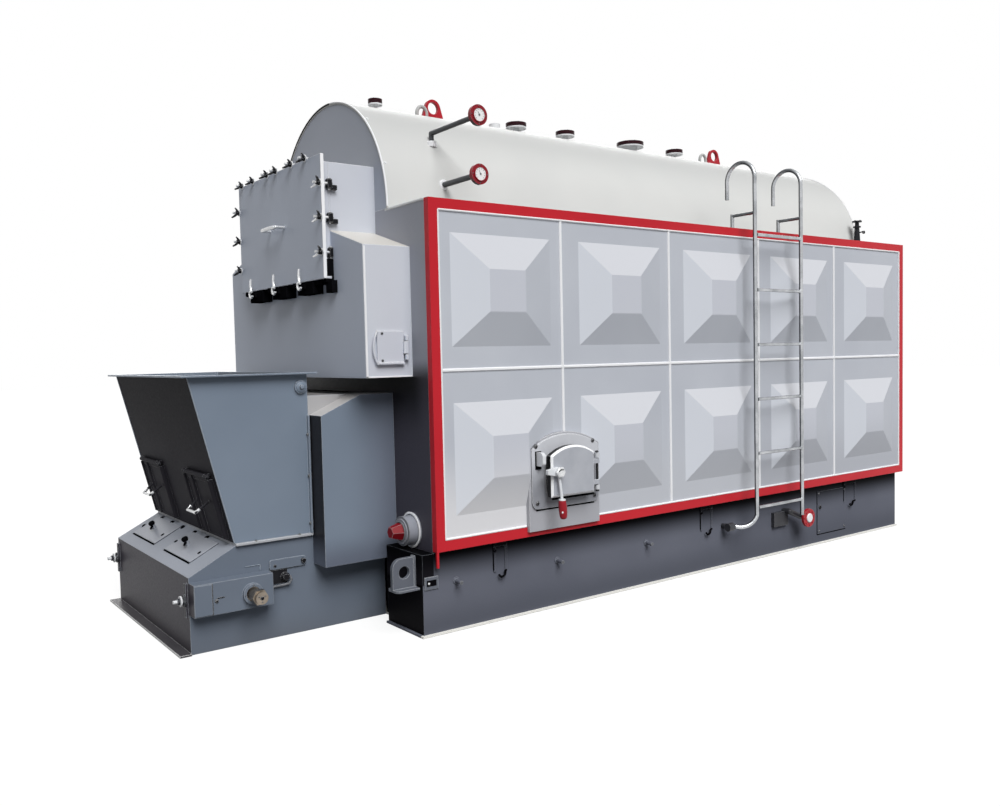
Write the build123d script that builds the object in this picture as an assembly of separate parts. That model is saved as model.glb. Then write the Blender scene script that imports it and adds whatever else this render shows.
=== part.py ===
from build123d import *
import math
import os

# Packaged chain-grate steam boiler: millimetres, +Z up, +X towards the side with the ladder,
# -Y towards the coal hopper. The origin is the middle of the underside of the base.

# Clearances used all over
fit_gap = 0.3
shaft_clearance = 0.1
running_gap = 5

# Base
base_length = 4955
beam_out = 9
base_height = 475
beam_width = 405
floor_plate = 10
end_plate = 40
lip_out = 16
lip_height = 12

# Hauling lugs on the front of the base
lug_inset = 90
lug_plate = 25
lug_reach = 150
lug_foot = 285
lug_top = 458
lug_corner = 60
lug_hole_radius = 36
lug_hole_reach = 73
lug_hole_height = 376
lug_strip_width = 36
lug_strip = 12
lug_shelf_width = 120
lug_shelf = 13
lug_shelf_corner = 30

# Furnace casing
front_setback = 78
rear_overhang = 64
casing_half = 1180
casing_top = 2494
side_wall = 260
end_wall = 200
roof_sheet = 12
roof_sheet_lap = 25
throat_margin = 60

# Steam drum under its arched jacket
shoulder_width = 400
jacket_rise = 5
jacket_sheet = 15
jacket_lip = 4
drum_gap = 80
drum_end_plate = 30

# Side cladding: trim frame, embossed panels and seam bars
trim_out = 46
trim_border = 64
trim_bottom = 484
trim_tail = 90
trim_tail_width = 14
column_count = 5
first_column_trim = 70
last_column_extra = 8
mid_seam_height = 1521
panel_inset = 6
emboss_width = 738
emboss_height = 652
emboss_depth = 55
plateau_width = 263
plateau_height = 246
emboss_shift = 30
emboss_drop = 28
seam_bar_width = 22
seam_bar_top = 12
seam_bar_height = 7

# Front smokebox
tower_inset = 170
tower_depth = 303
tower_bottom = 1488
tower_shoulder = 2240
tower_neck_inset = 166
tower_neck_bottom = 2360
tower_neck_top = 2765
cover_out = 36
cover_bottom = 2075
cover_height = 727
cover_frame = 46
cover_frame_inset = 40
cover_plate = 20
cover_fold = 14
handle_width = 220
handle_reach = 60
handle_rod = 9

# Clean-out doors in the smokebox sides
cleanout_width = 190
cleanout_height = 191
cleanout_bottom = 1562
cleanout_hinge_back = 42
cleanout_plate = 10
cleanout_pocket = 150
cleanout_margin = 18
cleanout_ledge = 12
cleanout_strap_bow = 28
cleanout_strap_rod = 6
hinge_pin_radius = 7
knuckle_radius = 13
knuckle_lift = 2
knuckle_length = 30
barrel_length = 70

# Stoker box under the hopper
stoker_left = -868
stoker_right = 614
stoker_reach = 1136.5
stoker_front_top = 427
stoker_top = 566
stoker_sheet = 10
slope_length = 268
feed_opening_margin = 40
floor_flange_out = 65
floor_flange = 12

# Inspection covers on the sloping top and the chain tension screws
cover_spots = [-508, 182]
slope_cover_width = 468
slope_cover_length = 186
slope_cover_plate = 7
slope_cover_foot = 84
slope_knob_offset = 39
slope_knob_radius = 13
slope_knob_height = 38
tension_inset = 28
tension_height = 300
tension_discs = [(34, 10), (22, 10), (30, 8), (18, 14), (10, 22)]
tension_plate_width = 26
tension_plate_height = 190
tension_plate = 14

# Drive housing and grate shaft
drive_length = 448
drive_out = 86
drive_bottom = 221
drive_top = 400
shaft_back = 324
shaft_height = 305
shaft_radius = 40
shaft_end_radius = 35
shaft_wall_gap = 2
shaft_reach = 145
collar_radius = 57
collar_length = 22

# Chain grate: slats carried by an endless chain at each side
grate_half = 645
grate_middle = -120
grate_chain_radius = 150
grate_chain_depth = 25
grate_chain_width = 34
grate_slat_height = 25
grate_slat_pitch = 155
grate_slat_gap = 4
grate_slat_nose = 9
grate_rear_space = 345
rail_width = 60
rail_depth = 34
rail_end_space = 150
cross_beam_count = 4
cross_beam = 60
sprocket_teeth = 10
sprocket_tip = 118
sprocket_root = 100
sprocket_tip_share = 0.14
sprocket_root_share = 0.28
sprocket_width = 28
sprocket_count = 3

# Coal hopper
hopper_depth = 464
hopper_rise = 951
hopper_overhang = 232
hopper_sheet = 8
rim_out = 45
rim_thickness = 10
base_flange = 14
base_flange_out = 20
base_flange_width = 40
back_flange_width = 22
back_flange = 10
side_boss_radius = 38
side_boss_length = 14
side_boss_back = 44
side_boss_drop = 75
flap_width = 450
flap_height = 372
flap_rise = 12
flap_spread = 455
flap_plate = 8
flap_gap = 6
flap_hole_margin = 40
flap_rim = 12
flap_rib = 14
flap_middle_rib = -75
flap_ear_inset = 35
flap_barrel_space = 10
flap_handle_width = 190
flap_handle_tip = 137
flap_handle_drop = 160
flap_handle_reach = 85
flap_handle_droop = 42
flap_handle_rod = 7

# Side boxes and feed box behind the hopper
side_box_width = 162
side_box_gap = 6
side_box_bottom = 395
side_box_shoulder = 1275
side_box_top = 1389
side_box_slope_back = 256

# Fire door in the right wall
fire_hinge_y = -1230
fire_frame_width = 576
fire_frame_behind_hinge = 65
fire_frame_bottom = 516
fire_frame_spring = 1030
fire_frame_rise = 86
fire_back_plate = 24
fire_casting = 12
fire_casting_margin = 15
fire_casting_bottom = 652
fire_casting_corner = 45
fire_collar = 36
fire_collar_inset = 22
fire_leaf_width = 354
fire_leaf_bottom = 727
fire_leaf_spring = 983
fire_leaf_rise = 55
fire_leaf_plate = 48
fire_leaf_bevel = 12
fire_leaf_gap = 54
fire_throat_margin = 52
fire_pin_radius = 8
fire_knuckle = 16
fire_axis_lift = 43
fire_knuckle_spots = [750, 953]
fire_knuckle_length = 30
fire_ear = 20
fire_ear_back = 4
lever_inset = 38
lever_height = 885
lever_hub = 30
lever_hub_length = 34
lever_nose = 88
lever_nose_low = 10
lever_nose_high = 18
lever_nose_plate = 24
lever_rod_reach = 168
lever_rod = 9
lever_grip = 100
lever_grip_radius = 19
keeper_height = 84
keeper_width = 26

# Ladder
ladder_out = 123
ladder_near = 318
ladder_far = 870
ladder_tube = 15
rung_tube = 12
rung_first = 437
rung_pitch = 400
rung_count = 6
ladder_foot = 316
ladder_bend_start = 380
ladder_bend_reach = 145
ladder_bend_in = 90
ladder_bend_drop = 75
ladder_sweep_reach = 52
ladder_sweep_in = 20
ladder_sweep_drop = 63
foot_body_length = 58
foot_body_radius = 30
foot_neck_radius = 20
foot_collar_radius = 21
foot_collar_length = 13
foot_joint = 9.3
hook_rise = 354
hook_radius = 125
hook_drop = 128
hook_bracket_rise = 100
hook_post_inset = 34
hook_bracket_rod = 12
hook_post_rod = 14

# Fittings on the drum: place along the boiler, flange radius, neck radius at the foot and at the top
nozzles = [
    (-2030, 49, 9, 9),
    (-809, 80, 26, 26),
    (-314, 76, 29, 29),
    (411, 114, 46, 70),
    (954, 75, 20, 20)
]
nozzle_rise = 51
nozzle_flange = 20
nozzle_joint = 3
nozzle_blank = 18
vent_stub_y = -1014
vent_stub_radius = 42
vent_stub_rise = 58
drum_lug_spots = [-1568, 1474]
drum_lug_width = 185
drum_lug_height = 150
drum_lug_plate = 26
drum_lug_hole = 42
drum_lug_hole_height = 88
drum_lug_shoulder = 18.6
lug_pad_length = 270
lug_pad_width = 150
lug_pad = 8
gauge_setback = 414.5
gauge_flange_inset = 50
gauge_flange_radius = 61
gauge_flange = 25
gauge_face_radius = 38
gauge_dial = 4
gauge_upper_rise = 522
gauge_upper_inset = 148
gauge_upper_rod = 16
gauge_lower_rise = 178
gauge_lower_rod = 17.5
standpipe_side = 347
standpipe_inset = 82
standpipe_foot = 34
standpipe_neck = 17
standpipe_rise = 245
standpipe_flange = 42
standpipe_plate = 12
standpipe_collar = 33.6
standpipe_collar_drop = 48

# Header couplings in the front wall and their plugs
coupling_inset = 218
coupling_height = 582
coupling_rings = [(105, 10), (86, 62), (74, 10)]
plug_radius = 56
plug_tip_radius = 35
plug_length = 70
plug_sides = 6

# Blow-down pipe on the base side
blowdown_start = 850
blowdown_end = 1005
blowdown_height = 330
blowdown_drop = 60
blowdown_rod = 22
blowdown_out = 60
blowdown_flange_out = 112
blowdown_flange_radius = 72
blowdown_flange = 20
blowdown_bracket = 150
blowdown_bracket_drop = 110

# Flue outlet in the rear wall
flue_width = 900
flue_height = 460
flue_bottom = 1120
flue_sheet = 8
flue_reach = 110
flue_flange_out = 60
flue_flange = 10
flue_hole_radius = 9

# Positions worked out from the values above
base_half = casing_half + beam_out
base_front = -base_length / 2
base_rear = base_length / 2
beam_inner = base_half - beam_width
casing_front = base_front + front_setback
casing_rear = base_rear + rear_overhang
furnace_half = casing_half - side_wall
wall_top = casing_top - roof_sheet
jacket_radius = casing_half - shoulder_width
jacket_axis = casing_top + jacket_rise
jacket_inner = jacket_radius - jacket_sheet
drum_radius = jacket_radius - drum_gap
trim_face = casing_half + trim_out
panel_face = trim_face - panel_inset
tower_half = casing_half - tower_inset
tower_neck_half = jacket_radius - tower_neck_inset
cover_half = tower_neck_half + cover_out
tower_front = casing_front - tower_depth
cover_face = tower_front - cover_frame - cover_plate
cover_top = cover_bottom + cover_height
stoker_front = base_front - stoker_reach
slope_foot = stoker_front + slope_length
hopper_back = slope_foot + hopper_depth
hopper_top = stoker_top + hopper_rise
hopper_floor = stoker_top + base_flange
shaft_y = stoker_front + shaft_back
shaft_bore = shaft_radius + shaft_clearance
ladder_plane = trim_face + ladder_out
gauge_y = casing_front + gauge_setback
gauge_flange_x = casing_half - gauge_flange_inset
gauge_upper_height = casing_top + gauge_upper_rise
gauge_upper_x = jacket_radius - gauge_upper_inset
gauge_lower_height = casing_top + gauge_lower_rise
coupling_x = casing_half - coupling_inset
standpipe_x = casing_half - standpipe_side


def block(x0, x1, y0, y1, z0, z1):
    return Pos((x0 + x1) / 2, (y0 + y1) / 2, (z0 + z1) / 2) * Box(x1 - x0, y1 - y0, z1 - z0)


def along_x(points, x0, x1):
    # A side outline in (y, z), carried from x0 to x1
    face = Plane.YZ.offset(x0) * make_face(Polyline(*points, close=True))
    return extrude(face, amount=x1 - x0)


def along_y(points, y0, y1):
    # A front outline in (x, z), carried from y0 to y1
    face = Plane.XZ.offset(-y0) * make_face(Polyline(*points, close=True))
    return extrude(face, amount=-(y1 - y0))


def along_z(points, z0, z1):
    # A plan in (x, y), carried from z0 to z1
    face = Plane.XY.offset(z0) * make_face(Polyline(*points, close=True))
    return extrude(face, amount=z1 - z0)


def rod(start, end, radius):
    line = Vector(*end) - Vector(*start)
    return Plane(origin=start, z_dir=line) * Cylinder(
        radius, line.length, align=(Align.CENTER, Align.CENTER, Align.MIN)
    )


def rod_x(x0, x1, y, z, radius):
    return rod((x0, y, z), (x1, y, z), radius)


def rod_y(x, y0, y1, z, radius):
    return rod((x, y0, z), (x, y1, z), radius)


def rod_z(x, y, z0, z1, radius):
    return rod((x, y, z0), (x, y, z1), radius)


def taper(start, end, start_radius, end_radius):
    line = Vector(*end) - Vector(*start)
    return Plane(origin=start, z_dir=line) * Cone(
        start_radius, end_radius, line.length, align=(Align.CENTER, Align.CENTER, Align.MIN)
    )


def other_side(shape):
    return mirror(shape, about=Plane.YZ)


def group(*shapes):
    return Compound([solid for shape in shapes for solid in shape.solids()])


def save(shape, name):
    export_step(shape, f"parts/{name}.step")


# Base: two box beams, a floor plate between them and a cross plate at the rear

def base_beam():
    beam = block(beam_inner, base_half, base_front, base_rear, 0, base_height)
    lip = block(beam_inner, base_half + lip_out, base_front - lip_out, base_rear, 0, lip_height)
    return beam + lip


def base_floor():
    return block(-beam_inner, beam_inner, casing_front, base_rear, 0, floor_plate)


def base_rear_plate():
    return block(-beam_inner, beam_inner, base_rear - end_plate, base_rear, floor_plate, base_height)


def base_lug():
    # An eye plate on edge, standing on a shelf and welded to a strip on the beam's end
    middle = base_half - lug_inset
    front = base_front - lug_reach
    plate = block(middle - lug_plate / 2, middle + lug_plate / 2, front, base_front, lug_foot, lug_top)
    corner = plate.edges().filter_by(Axis.X).sort_by(lambda edge: edge.center().Z - edge.center().Y)[-1]
    plate = fillet(corner, lug_corner)
    hole_y = base_front - lug_hole_reach
    hole = rod_x(middle - lug_plate, middle + lug_plate, hole_y, lug_hole_height, lug_hole_radius)
    strip = block(
        middle - lug_strip_width / 2, middle + lug_strip_width / 2, base_front - lug_strip, base_front,
        lug_foot, lug_top + lug_strip / 2
    )
    shelf = block(middle - lug_shelf_width / 2, middle + lug_shelf_width / 2, front, base_front,
                  lug_foot - lug_shelf, lug_foot)
    shelf = fillet(shelf.edges().filter_by(Axis.Z).sort_by(Axis.Y)[:2], lug_shelf_corner)
    return plate - hole + strip + shelf


# Furnace walls and the roof sheets beside the jacket

def fire_outline(width, bottom, spring, rise, middle):
    # Straight sides and a shallow arch over them, in (y, z)
    half = width / 2
    left = (middle - half, spring)
    right = (middle + half, spring)
    sides = Polyline(left, (middle - half, bottom), (middle + half, bottom), right)
    return make_face(sides + ThreePointArc(left, (middle, spring + rise), right))


def fire_prism(width, bottom, spring, rise, middle, x0, x1):
    face = Plane.YZ.offset(x0) * fire_outline(width, bottom, spring, rise, middle)
    return extrude(face, amount=x1 - x0)


fire_leaf_middle = fire_hinge_y - fire_leaf_gap - fire_leaf_width / 2
fire_frame_middle = fire_hinge_y + fire_frame_behind_hinge - fire_frame_width / 2
fire_plate_face = trim_face + fire_back_plate
fire_frame_face = fire_plate_face + fire_casting
fire_collar_face = fire_frame_face + fire_collar


def fire_throat(x0, x1):
    return fire_prism(
        fire_leaf_width - 2 * fire_throat_margin,
        fire_leaf_bottom + fire_throat_margin,
        fire_leaf_spring - fire_throat_margin / 2,
        fire_leaf_rise - fire_throat_margin / 2,
        fire_leaf_middle,
        x0,
        x1,
    )


def fire_frame_space():
    # What the door's back plate takes out of the cladding
    return fire_prism(
        fire_frame_width + 2 * fit_gap, fire_frame_bottom - fit_gap, fire_frame_spring,
        fire_frame_rise + fit_gap, fire_frame_middle, casing_half - 1, trim_face + emboss_depth + 1
    )


def side_wall_left():
    return block(
        -casing_half, -furnace_half, casing_front + end_wall, casing_rear - end_wall, base_height, wall_top
    )


def side_wall_right():
    return other_side(side_wall_left()) - fire_throat(furnace_half - 1, casing_half + 1)


def end_wall_outline():
    # The middle part reaches up between the roof sheets
    inner = jacket_inner - roof_sheet_lap
    return [
        (-casing_half, base_height), (casing_half, base_height), (casing_half, wall_top), (inner, wall_top),
        (inner, casing_top), (-inner, casing_top), (-inner, wall_top), (-casing_half, wall_top)
    ]


def front_wall():
    wall = along_y(end_wall_outline(), casing_front, casing_front + end_wall)
    throat = block(
        stoker_left + throat_margin, stoker_right - throat_margin,
        casing_front - 1, casing_front + end_wall + 1, base_height - 1, stoker_top - stoker_sheet
    )
    return wall - throat


def flue_space(grow, y0, y1):
    half = flue_width / 2 + grow
    return block(-half, half, y0, y1, flue_bottom - grow, flue_bottom + flue_height + grow)


def rear_wall():
    wall = along_y(end_wall_outline(), casing_rear - end_wall, casing_rear)
    wall = wall + drum_end(casing_rear - drum_end_plate, casing_rear)
    return wall - flue_space(0, casing_rear - end_wall - 1, casing_rear + 1) + flue_outlet()


def flue_outlet():
    # A rectangular duct collar with a drilled flange
    duct = flue_space(flue_sheet, casing_rear, casing_rear + flue_reach)
    flange = flue_space(flue_flange_out, casing_rear + flue_reach - flue_flange, casing_rear + flue_reach)
    outlet = duct + flange - flue_space(0, casing_rear - 1, casing_rear + flue_reach + 1)
    for x in (-flue_hole_x, flue_hole_x):
        for z in (flue_hole_low, flue_hole_high):
            outlet = outlet - rod_y(x, casing_rear, casing_rear + flue_reach + 1, z, flue_hole_radius)
    return outlet


flue_hole_line = (flue_flange_out + flue_sheet) / 2
flue_hole_x = flue_width / 2 + flue_hole_line
flue_hole_low = flue_bottom - flue_hole_line
flue_hole_high = flue_bottom + flue_height + flue_hole_line


def roof_sheets():
    inner = jacket_inner - roof_sheet_lap
    sheet = block(inner, casing_half, casing_front, casing_rear, wall_top, casing_top)
    return group(sheet, other_side(sheet))


# Drum: the vessel between the end walls, and the arched jacket over it with a plate in each end

def steam_drum():
    return rod_y(0, casing_front + end_wall, casing_rear - end_wall, jacket_axis, drum_radius)


def above_roof(shape):
    return shape - block(-casing_half, casing_half, 2 * base_front, 2 * base_rear, 0, casing_top)


def jacket_solid(y0, y1, radius):
    return rod_y(0, y0, y1, jacket_axis, radius)


def drum_jacket():
    y0 = casing_front - jacket_lip
    y1 = casing_rear + jacket_lip
    return above_roof(jacket_solid(y0, y1, jacket_radius) - jacket_solid(y0 - 1, y1 + 1, jacket_inner))


def drum_end(y0, y1):
    return above_roof(jacket_solid(y0, y1, jacket_inner))


# Cladding on one side; the other is its mirror image

panel_top = casing_top - trim_border
panel_bottom = trim_bottom + trim_border
panel_front = casing_front + trim_border
panel_rear = casing_rear - trim_border
column_pitch = (panel_rear - panel_front + first_column_trim - last_column_extra) / column_count
seams = [panel_front - first_column_trim + column_pitch * step for step in range(1, column_count)]
column_edges = [panel_front] + seams + [panel_rear]


def trim_frame():
    outer = block(casing_half, trim_face, casing_front, casing_rear, trim_bottom, casing_top)
    inner = block(casing_half - 1, trim_face + 1, panel_front, panel_rear, panel_bottom, panel_top)
    tail = block(
        trim_face - trim_tail_width, trim_face, casing_front, casing_front + trim_tail_width,
        trim_bottom - trim_tail, trim_bottom
    )
    return outer - inner + tail


def boss_outline(middle, foot, head):
    # The boss's tapering outline, out from the panel's face
    top = panel_face + emboss_depth
    return [(panel_face, middle - foot / 2), (top, middle - head / 2), (top, middle + head / 2),
            (panel_face, middle + foot / 2)]


def embossed_panel(column, z0, z1, middle_z):
    # A pan with a raised, four-sided, flat-topped boss, set off the middle of its square
    pan = block(casing_half, panel_face, column_edges[column], column_edges[column + 1], z0, z1)
    middle_y = panel_front - first_column_trim + column_pitch * (column + 0.5) + emboss_shift
    plan = boss_outline(middle_y, emboss_width, plateau_width)
    side = boss_outline(middle_z, emboss_height, plateau_height)
    return pan + (along_z(plan, z0, z1) & along_y(side, column_edges[column], column_edges[column + 1]))


def panel_row(z0, z1, middle_z):
    return group(*[embossed_panel(column, z0, z1, middle_z) for column in range(column_count)])


def upper_panels():
    return panel_row(mid_seam_height, panel_top, mid_seam_height + column_pitch / 2 - emboss_drop)


def lower_panels():
    return panel_row(panel_bottom, mid_seam_height, mid_seam_height - column_pitch / 2 - emboss_drop)


def seam_bars():
    # Ridged cover strips over the panel seams
    foot = seam_bar_width / 2
    head = seam_bar_top / 2
    top = panel_face + seam_bar_height
    flat = [
        (panel_face, mid_seam_height - foot), (top, mid_seam_height - head), (top, mid_seam_height + head),
        (panel_face, mid_seam_height + foot)
    ]
    bars = along_y(flat, panel_front, panel_rear)
    for seam in seams:
        ridge = [(panel_face, seam - foot), (top, seam - head), (top, seam + head), (panel_face, seam + foot)]
        bars = bars + along_z(ridge, panel_bottom, panel_top)
    return bars


def clear_of_fire_door(shape):
    return group(*[solid - fire_frame_space() for solid in shape.solids()])


# Smokebox

def tower_outline():
    return [
        (-tower_half, tower_bottom),
        (tower_half, tower_bottom),
        (tower_half, tower_shoulder),
        (tower_neck_half, tower_neck_bottom),
        (-tower_neck_half, tower_neck_bottom),
        (-tower_half, tower_shoulder),
    ]


cleanout_rear = casing_front - cleanout_hinge_back
cleanout_front = cleanout_rear - cleanout_width
cleanout_top = cleanout_bottom + cleanout_height
cleanout_axis = tower_half + knuckle_radius + knuckle_lift
cleanout_skin = tower_half + fit_gap
hinge_bore = hinge_pin_radius + shaft_clearance
barrel_bottom = cleanout_bottom + (cleanout_height - barrel_length) / 2
barrel_top = barrel_bottom + barrel_length


def cleanout_hole():
    return block(
        tower_half - cleanout_pocket, tower_half + 1,
        cleanout_front + cleanout_margin, cleanout_rear - cleanout_margin,
        cleanout_bottom + cleanout_margin, cleanout_top - cleanout_margin
    )


def tower_body():
    body = along_y(tower_outline(), tower_front, casing_front)
    return body - cleanout_hole() - other_side(cleanout_hole())


def tower_neck():
    return block(
        -tower_neck_half, tower_neck_half, tower_front, casing_front, tower_neck_bottom, tower_neck_top
    )


def smokebox_cover():
    # A plate wider than the opening's frame, its lower edge folded back
    frame = block(
        -tower_neck_half, tower_neck_half, tower_front - cover_frame, tower_front,
        cover_bottom + cover_frame_inset, tower_neck_top
    )
    plate = block(-cover_half, cover_half, cover_face, tower_front - cover_frame, cover_bottom, cover_top)
    fold = block(
        -cover_half, cover_half, tower_front - cover_frame, tower_front - cover_fold, cover_bottom,
        cover_bottom + cover_fold
    )
    return frame + plate + fold


def cover_handle():
    height = (cover_bottom + cover_top) / 2
    half = handle_width / 2
    tip = cover_face - handle_reach
    posts = [rod_y(x, cover_face, tip, height, handle_rod) for x in (-half, half)]
    corners = [Pos(x, tip, height) * Sphere(handle_rod) for x in (-half, half)]
    return rod_x(-half, half, tip, height, handle_rod) + posts + corners


def cleanout_strap(face):
    # A round bar bowed forwards beyond the door's edge, from its top to its bottom
    half = cleanout_height / 2
    radius = (half**2 + cleanout_strap_bow**2) / (2 * cleanout_strap_bow)
    reach = math.degrees(math.asin(half / radius))
    middle_y = cleanout_front - cleanout_strap_bow + radius
    middle = (face + cleanout_strap_rod, middle_y, cleanout_bottom + half)
    ring = Plane(origin=middle, x_dir=(0, 0, 1), z_dir=(1, 0, 0))
    start = Pos(radius, 0, 0) * Rot(90, 0, 0) * Circle(cleanout_strap_rod)
    bow = revolve(Rot(0, 0, 90 - reach) * start, Axis.Z, 2 * reach)
    return ring * bow


def cleanout_door():
    face = cleanout_skin + cleanout_plate
    edge = cleanout_rear - knuckle_radius - running_gap
    plate = block(cleanout_skin, face, cleanout_front, edge, cleanout_bottom, cleanout_top)
    tongue = block(face - cleanout_plate / 2, cleanout_axis + knuckle_radius / 2, edge - running_gap,
                   cleanout_rear, barrel_bottom, barrel_top)
    barrel = rod_z(cleanout_axis, cleanout_rear, barrel_bottom, barrel_top, knuckle_radius)
    ledge = block(face, face + cleanout_ledge, cleanout_front, edge, cleanout_bottom,
                  cleanout_bottom + cleanout_ledge)
    strap = cleanout_strap(face)
    bore = rod_z(cleanout_axis, cleanout_rear, cleanout_bottom, cleanout_top, hinge_bore)
    return plate + tongue + barrel + ledge + strap - bore


def cleanout_hinge():
    low = barrel_bottom - running_gap - knuckle_length
    high = barrel_top + running_gap
    pin = rod_z(cleanout_axis, cleanout_rear, low, high + knuckle_length, hinge_pin_radius)
    ears = []
    ear_rear = cleanout_rear + knuckle_radius
    for start in (low, high):
        end = start + knuckle_length
        ears.append(rod_z(cleanout_axis, cleanout_rear, start, end, knuckle_radius))
        ears.append(block(tower_half, cleanout_axis, cleanout_rear, ear_rear, start, end))
    return pin + ears


# Stoker box: a sheet housing with a sloping front, its feed opening and the grate inside

def stoker_outline(inset):
    # The housing's side outline, drawn in by the sheet on every side but the open rear
    lean = (stoker_top - stoker_front_top) / slope_length
    drop = inset * math.sqrt(1 + lean**2)
    front = stoker_front + inset
    return [
        (front, inset),
        (front, stoker_front_top - drop + lean * inset),
        (slope_foot + (drop - inset) / lean, stoker_top - inset),
        (casing_front, stoker_top - inset),
        (casing_front, inset),
    ]


def stoker_box():
    shell = along_x(stoker_outline(0), stoker_left, stoker_right)
    hollow = along_x(stoker_outline(stoker_sheet), stoker_left + stoker_sheet, stoker_right - stoker_sheet)
    feed = block(
        stoker_left + feed_opening_margin, stoker_right - feed_opening_margin,
        slope_foot + feed_opening_margin, hopper_back - feed_opening_margin,
        stoker_top - 2 * stoker_sheet, stoker_top + 1
    )
    hole = shaft_radius + shaft_wall_gap
    bore = rod_x(stoker_right - 2 * stoker_sheet, stoker_right, shaft_y, shaft_height, hole)
    left_screw = Pos(stoker_left + stoker_right, 0, 0) * other_side(tension_screw())
    beams = base_beam() + other_side(base_beam())
    return shell - hollow - feed - beams - bore + tension_screw() + left_screw


def floor_lip():
    front = stoker_front - floor_flange_out
    return block(stoker_left - lip_out, stoker_right + lip_out, front, stoker_front, 0, floor_flange)


slope_angle = math.degrees(math.atan((stoker_top - stoker_front_top) / slope_length))


def slope_plane(x):
    # Lies on the sloping top with its y up the slope and its z square to the sheet, outwards
    return Plane(
        origin=(x, stoker_front, stoker_front_top), x_dir=(1, 0, 0),
        z_dir=(0, -math.sin(math.radians(slope_angle)), math.cos(math.radians(slope_angle)))
    )


def inspection_cover(x):
    half = slope_cover_width / 2
    middle = slope_cover_foot + slope_cover_length / 2
    plate = block(-half, half, slope_cover_foot, slope_cover_foot + slope_cover_length, 0, slope_cover_plate)
    knob_top = slope_cover_plate + slope_knob_height
    knob = rod_z(-slope_knob_offset, middle, slope_cover_plate, knob_top, slope_knob_radius)
    return slope_plane(x) * (plate + knob)


def tension_screw():
    # A plate on the corner and a screw with its stacked washers
    x = stoker_right - tension_inset
    plate = block(
        x - tension_plate_width / 2, x + tension_plate_width / 2, stoker_front - tension_plate, stoker_front,
        tension_height - tension_plate_height / 2, tension_height + tension_plate_height / 2
    )
    y = stoker_front - tension_plate
    for radius, length in tension_discs:
        plate = plate + rod_y(x, y, y - length, tension_height, radius)
        y = y - length
    return plate


# Drive housing on the stoker's side, and the shaft with its sprockets

def drive_housing():
    x1 = stoker_right + drive_out
    housing = block(
        stoker_right, x1, stoker_front, stoker_front + drive_length, drive_bottom, drive_top
    )
    collar = rod_x(x1, x1 + collar_length, shaft_y, shaft_height, collar_radius)
    bore = rod_x(stoker_right - 1, x1 + collar_length + 1, shaft_y, shaft_height, shaft_bore)
    return housing + collar - bore


def sprocket(x):
    # Trapezoid teeth on a disc, set square to the shaft
    points = []
    step = 2 * math.pi / sprocket_teeth
    flank = [
        (-sprocket_root_share, sprocket_root), (-sprocket_tip_share, sprocket_tip),
        (sprocket_tip_share, sprocket_tip), (sprocket_root_share, sprocket_root)
    ]
    for tooth in range(sprocket_teeth):
        for share, radius in flank:
            angle = step * (tooth + share)
            points.append((shaft_y + radius * math.cos(angle), shaft_height + radius * math.sin(angle)))
    return along_x(points, x - sprocket_width / 2, x + sprocket_width / 2)


def grate_shaft():
    x0 = stoker_left + stoker_sheet + running_gap
    x1 = stoker_right + drive_out + collar_length - lip_height
    x2 = stoker_right + drive_out + shaft_reach
    shaft = rod_x(x0, x1, shaft_y, shaft_height, shaft_radius)
    shaft = shaft + rod_x(x1, x2, shaft_y, shaft_height, shaft_end_radius)
    for step in range(sprocket_count):
        share = 2 * step / (sprocket_count - 1) - 1
        shaft = shaft + sprocket(grate_middle + chain_spread * share)
    return shaft


# Chain grate: a loop of slats round the front shaft and a turn at the rear

grate_rear = casing_rear - end_wall - grate_rear_space
grate_run = grate_rear - shaft_y
chain_spread = grate_half - 2 * grate_chain_width
grate_loop = 2 * grate_run + 2 * math.pi * grate_chain_radius
grate_slats = round(grate_loop / grate_slat_pitch)


def chain_outline(radius):
    # Two straight runs joined by half circles, in (y, z)
    top = shaft_height + radius
    bottom = shaft_height - radius
    return make_face(
        Line((shaft_y, top), (grate_rear, top))
        + ThreePointArc((grate_rear, top), (grate_rear + radius, shaft_height), (grate_rear, bottom))
        + Line((grate_rear, bottom), (shaft_y, bottom))
        + ThreePointArc((shaft_y, bottom), (shaft_y - radius, shaft_height), (shaft_y, top))
    )


def chain_place(distance):
    # The point on the chain line and the turn there, at a distance round the loop from the top front
    turn = math.pi * grate_chain_radius
    if distance < grate_run:
        return shaft_y + distance, shaft_height + grate_chain_radius, 0
    if distance < grate_run + turn:
        angle = (distance - grate_run) / grate_chain_radius
        return (grate_rear + grate_chain_radius * math.sin(angle),
                shaft_height + grate_chain_radius * math.cos(angle), -math.degrees(angle))
    if distance < 2 * grate_run + turn:
        return grate_rear - (distance - grate_run - turn), shaft_height - grate_chain_radius, 180
    angle = (distance - 2 * grate_run - turn) / grate_chain_radius
    return (shaft_y - grate_chain_radius * math.sin(angle),
            shaft_height - grate_chain_radius * math.cos(angle), 180 - math.degrees(angle))


def grate_slat():
    # A cast slat whose nose laps the tail of the next one
    half = (grate_loop / grate_slats - grate_slat_gap) / 2
    tail = half - grate_slat_nose
    outline = [
        (-half, -running_gap / 2), (tail, -running_gap / 2), (half, grate_slat_height / 2),
        (half, grate_slat_height), (-tail, grate_slat_height), (-half, grate_slat_height / 2)
    ]
    return along_x(outline, grate_middle - grate_half, grate_middle + grate_half)


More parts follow.
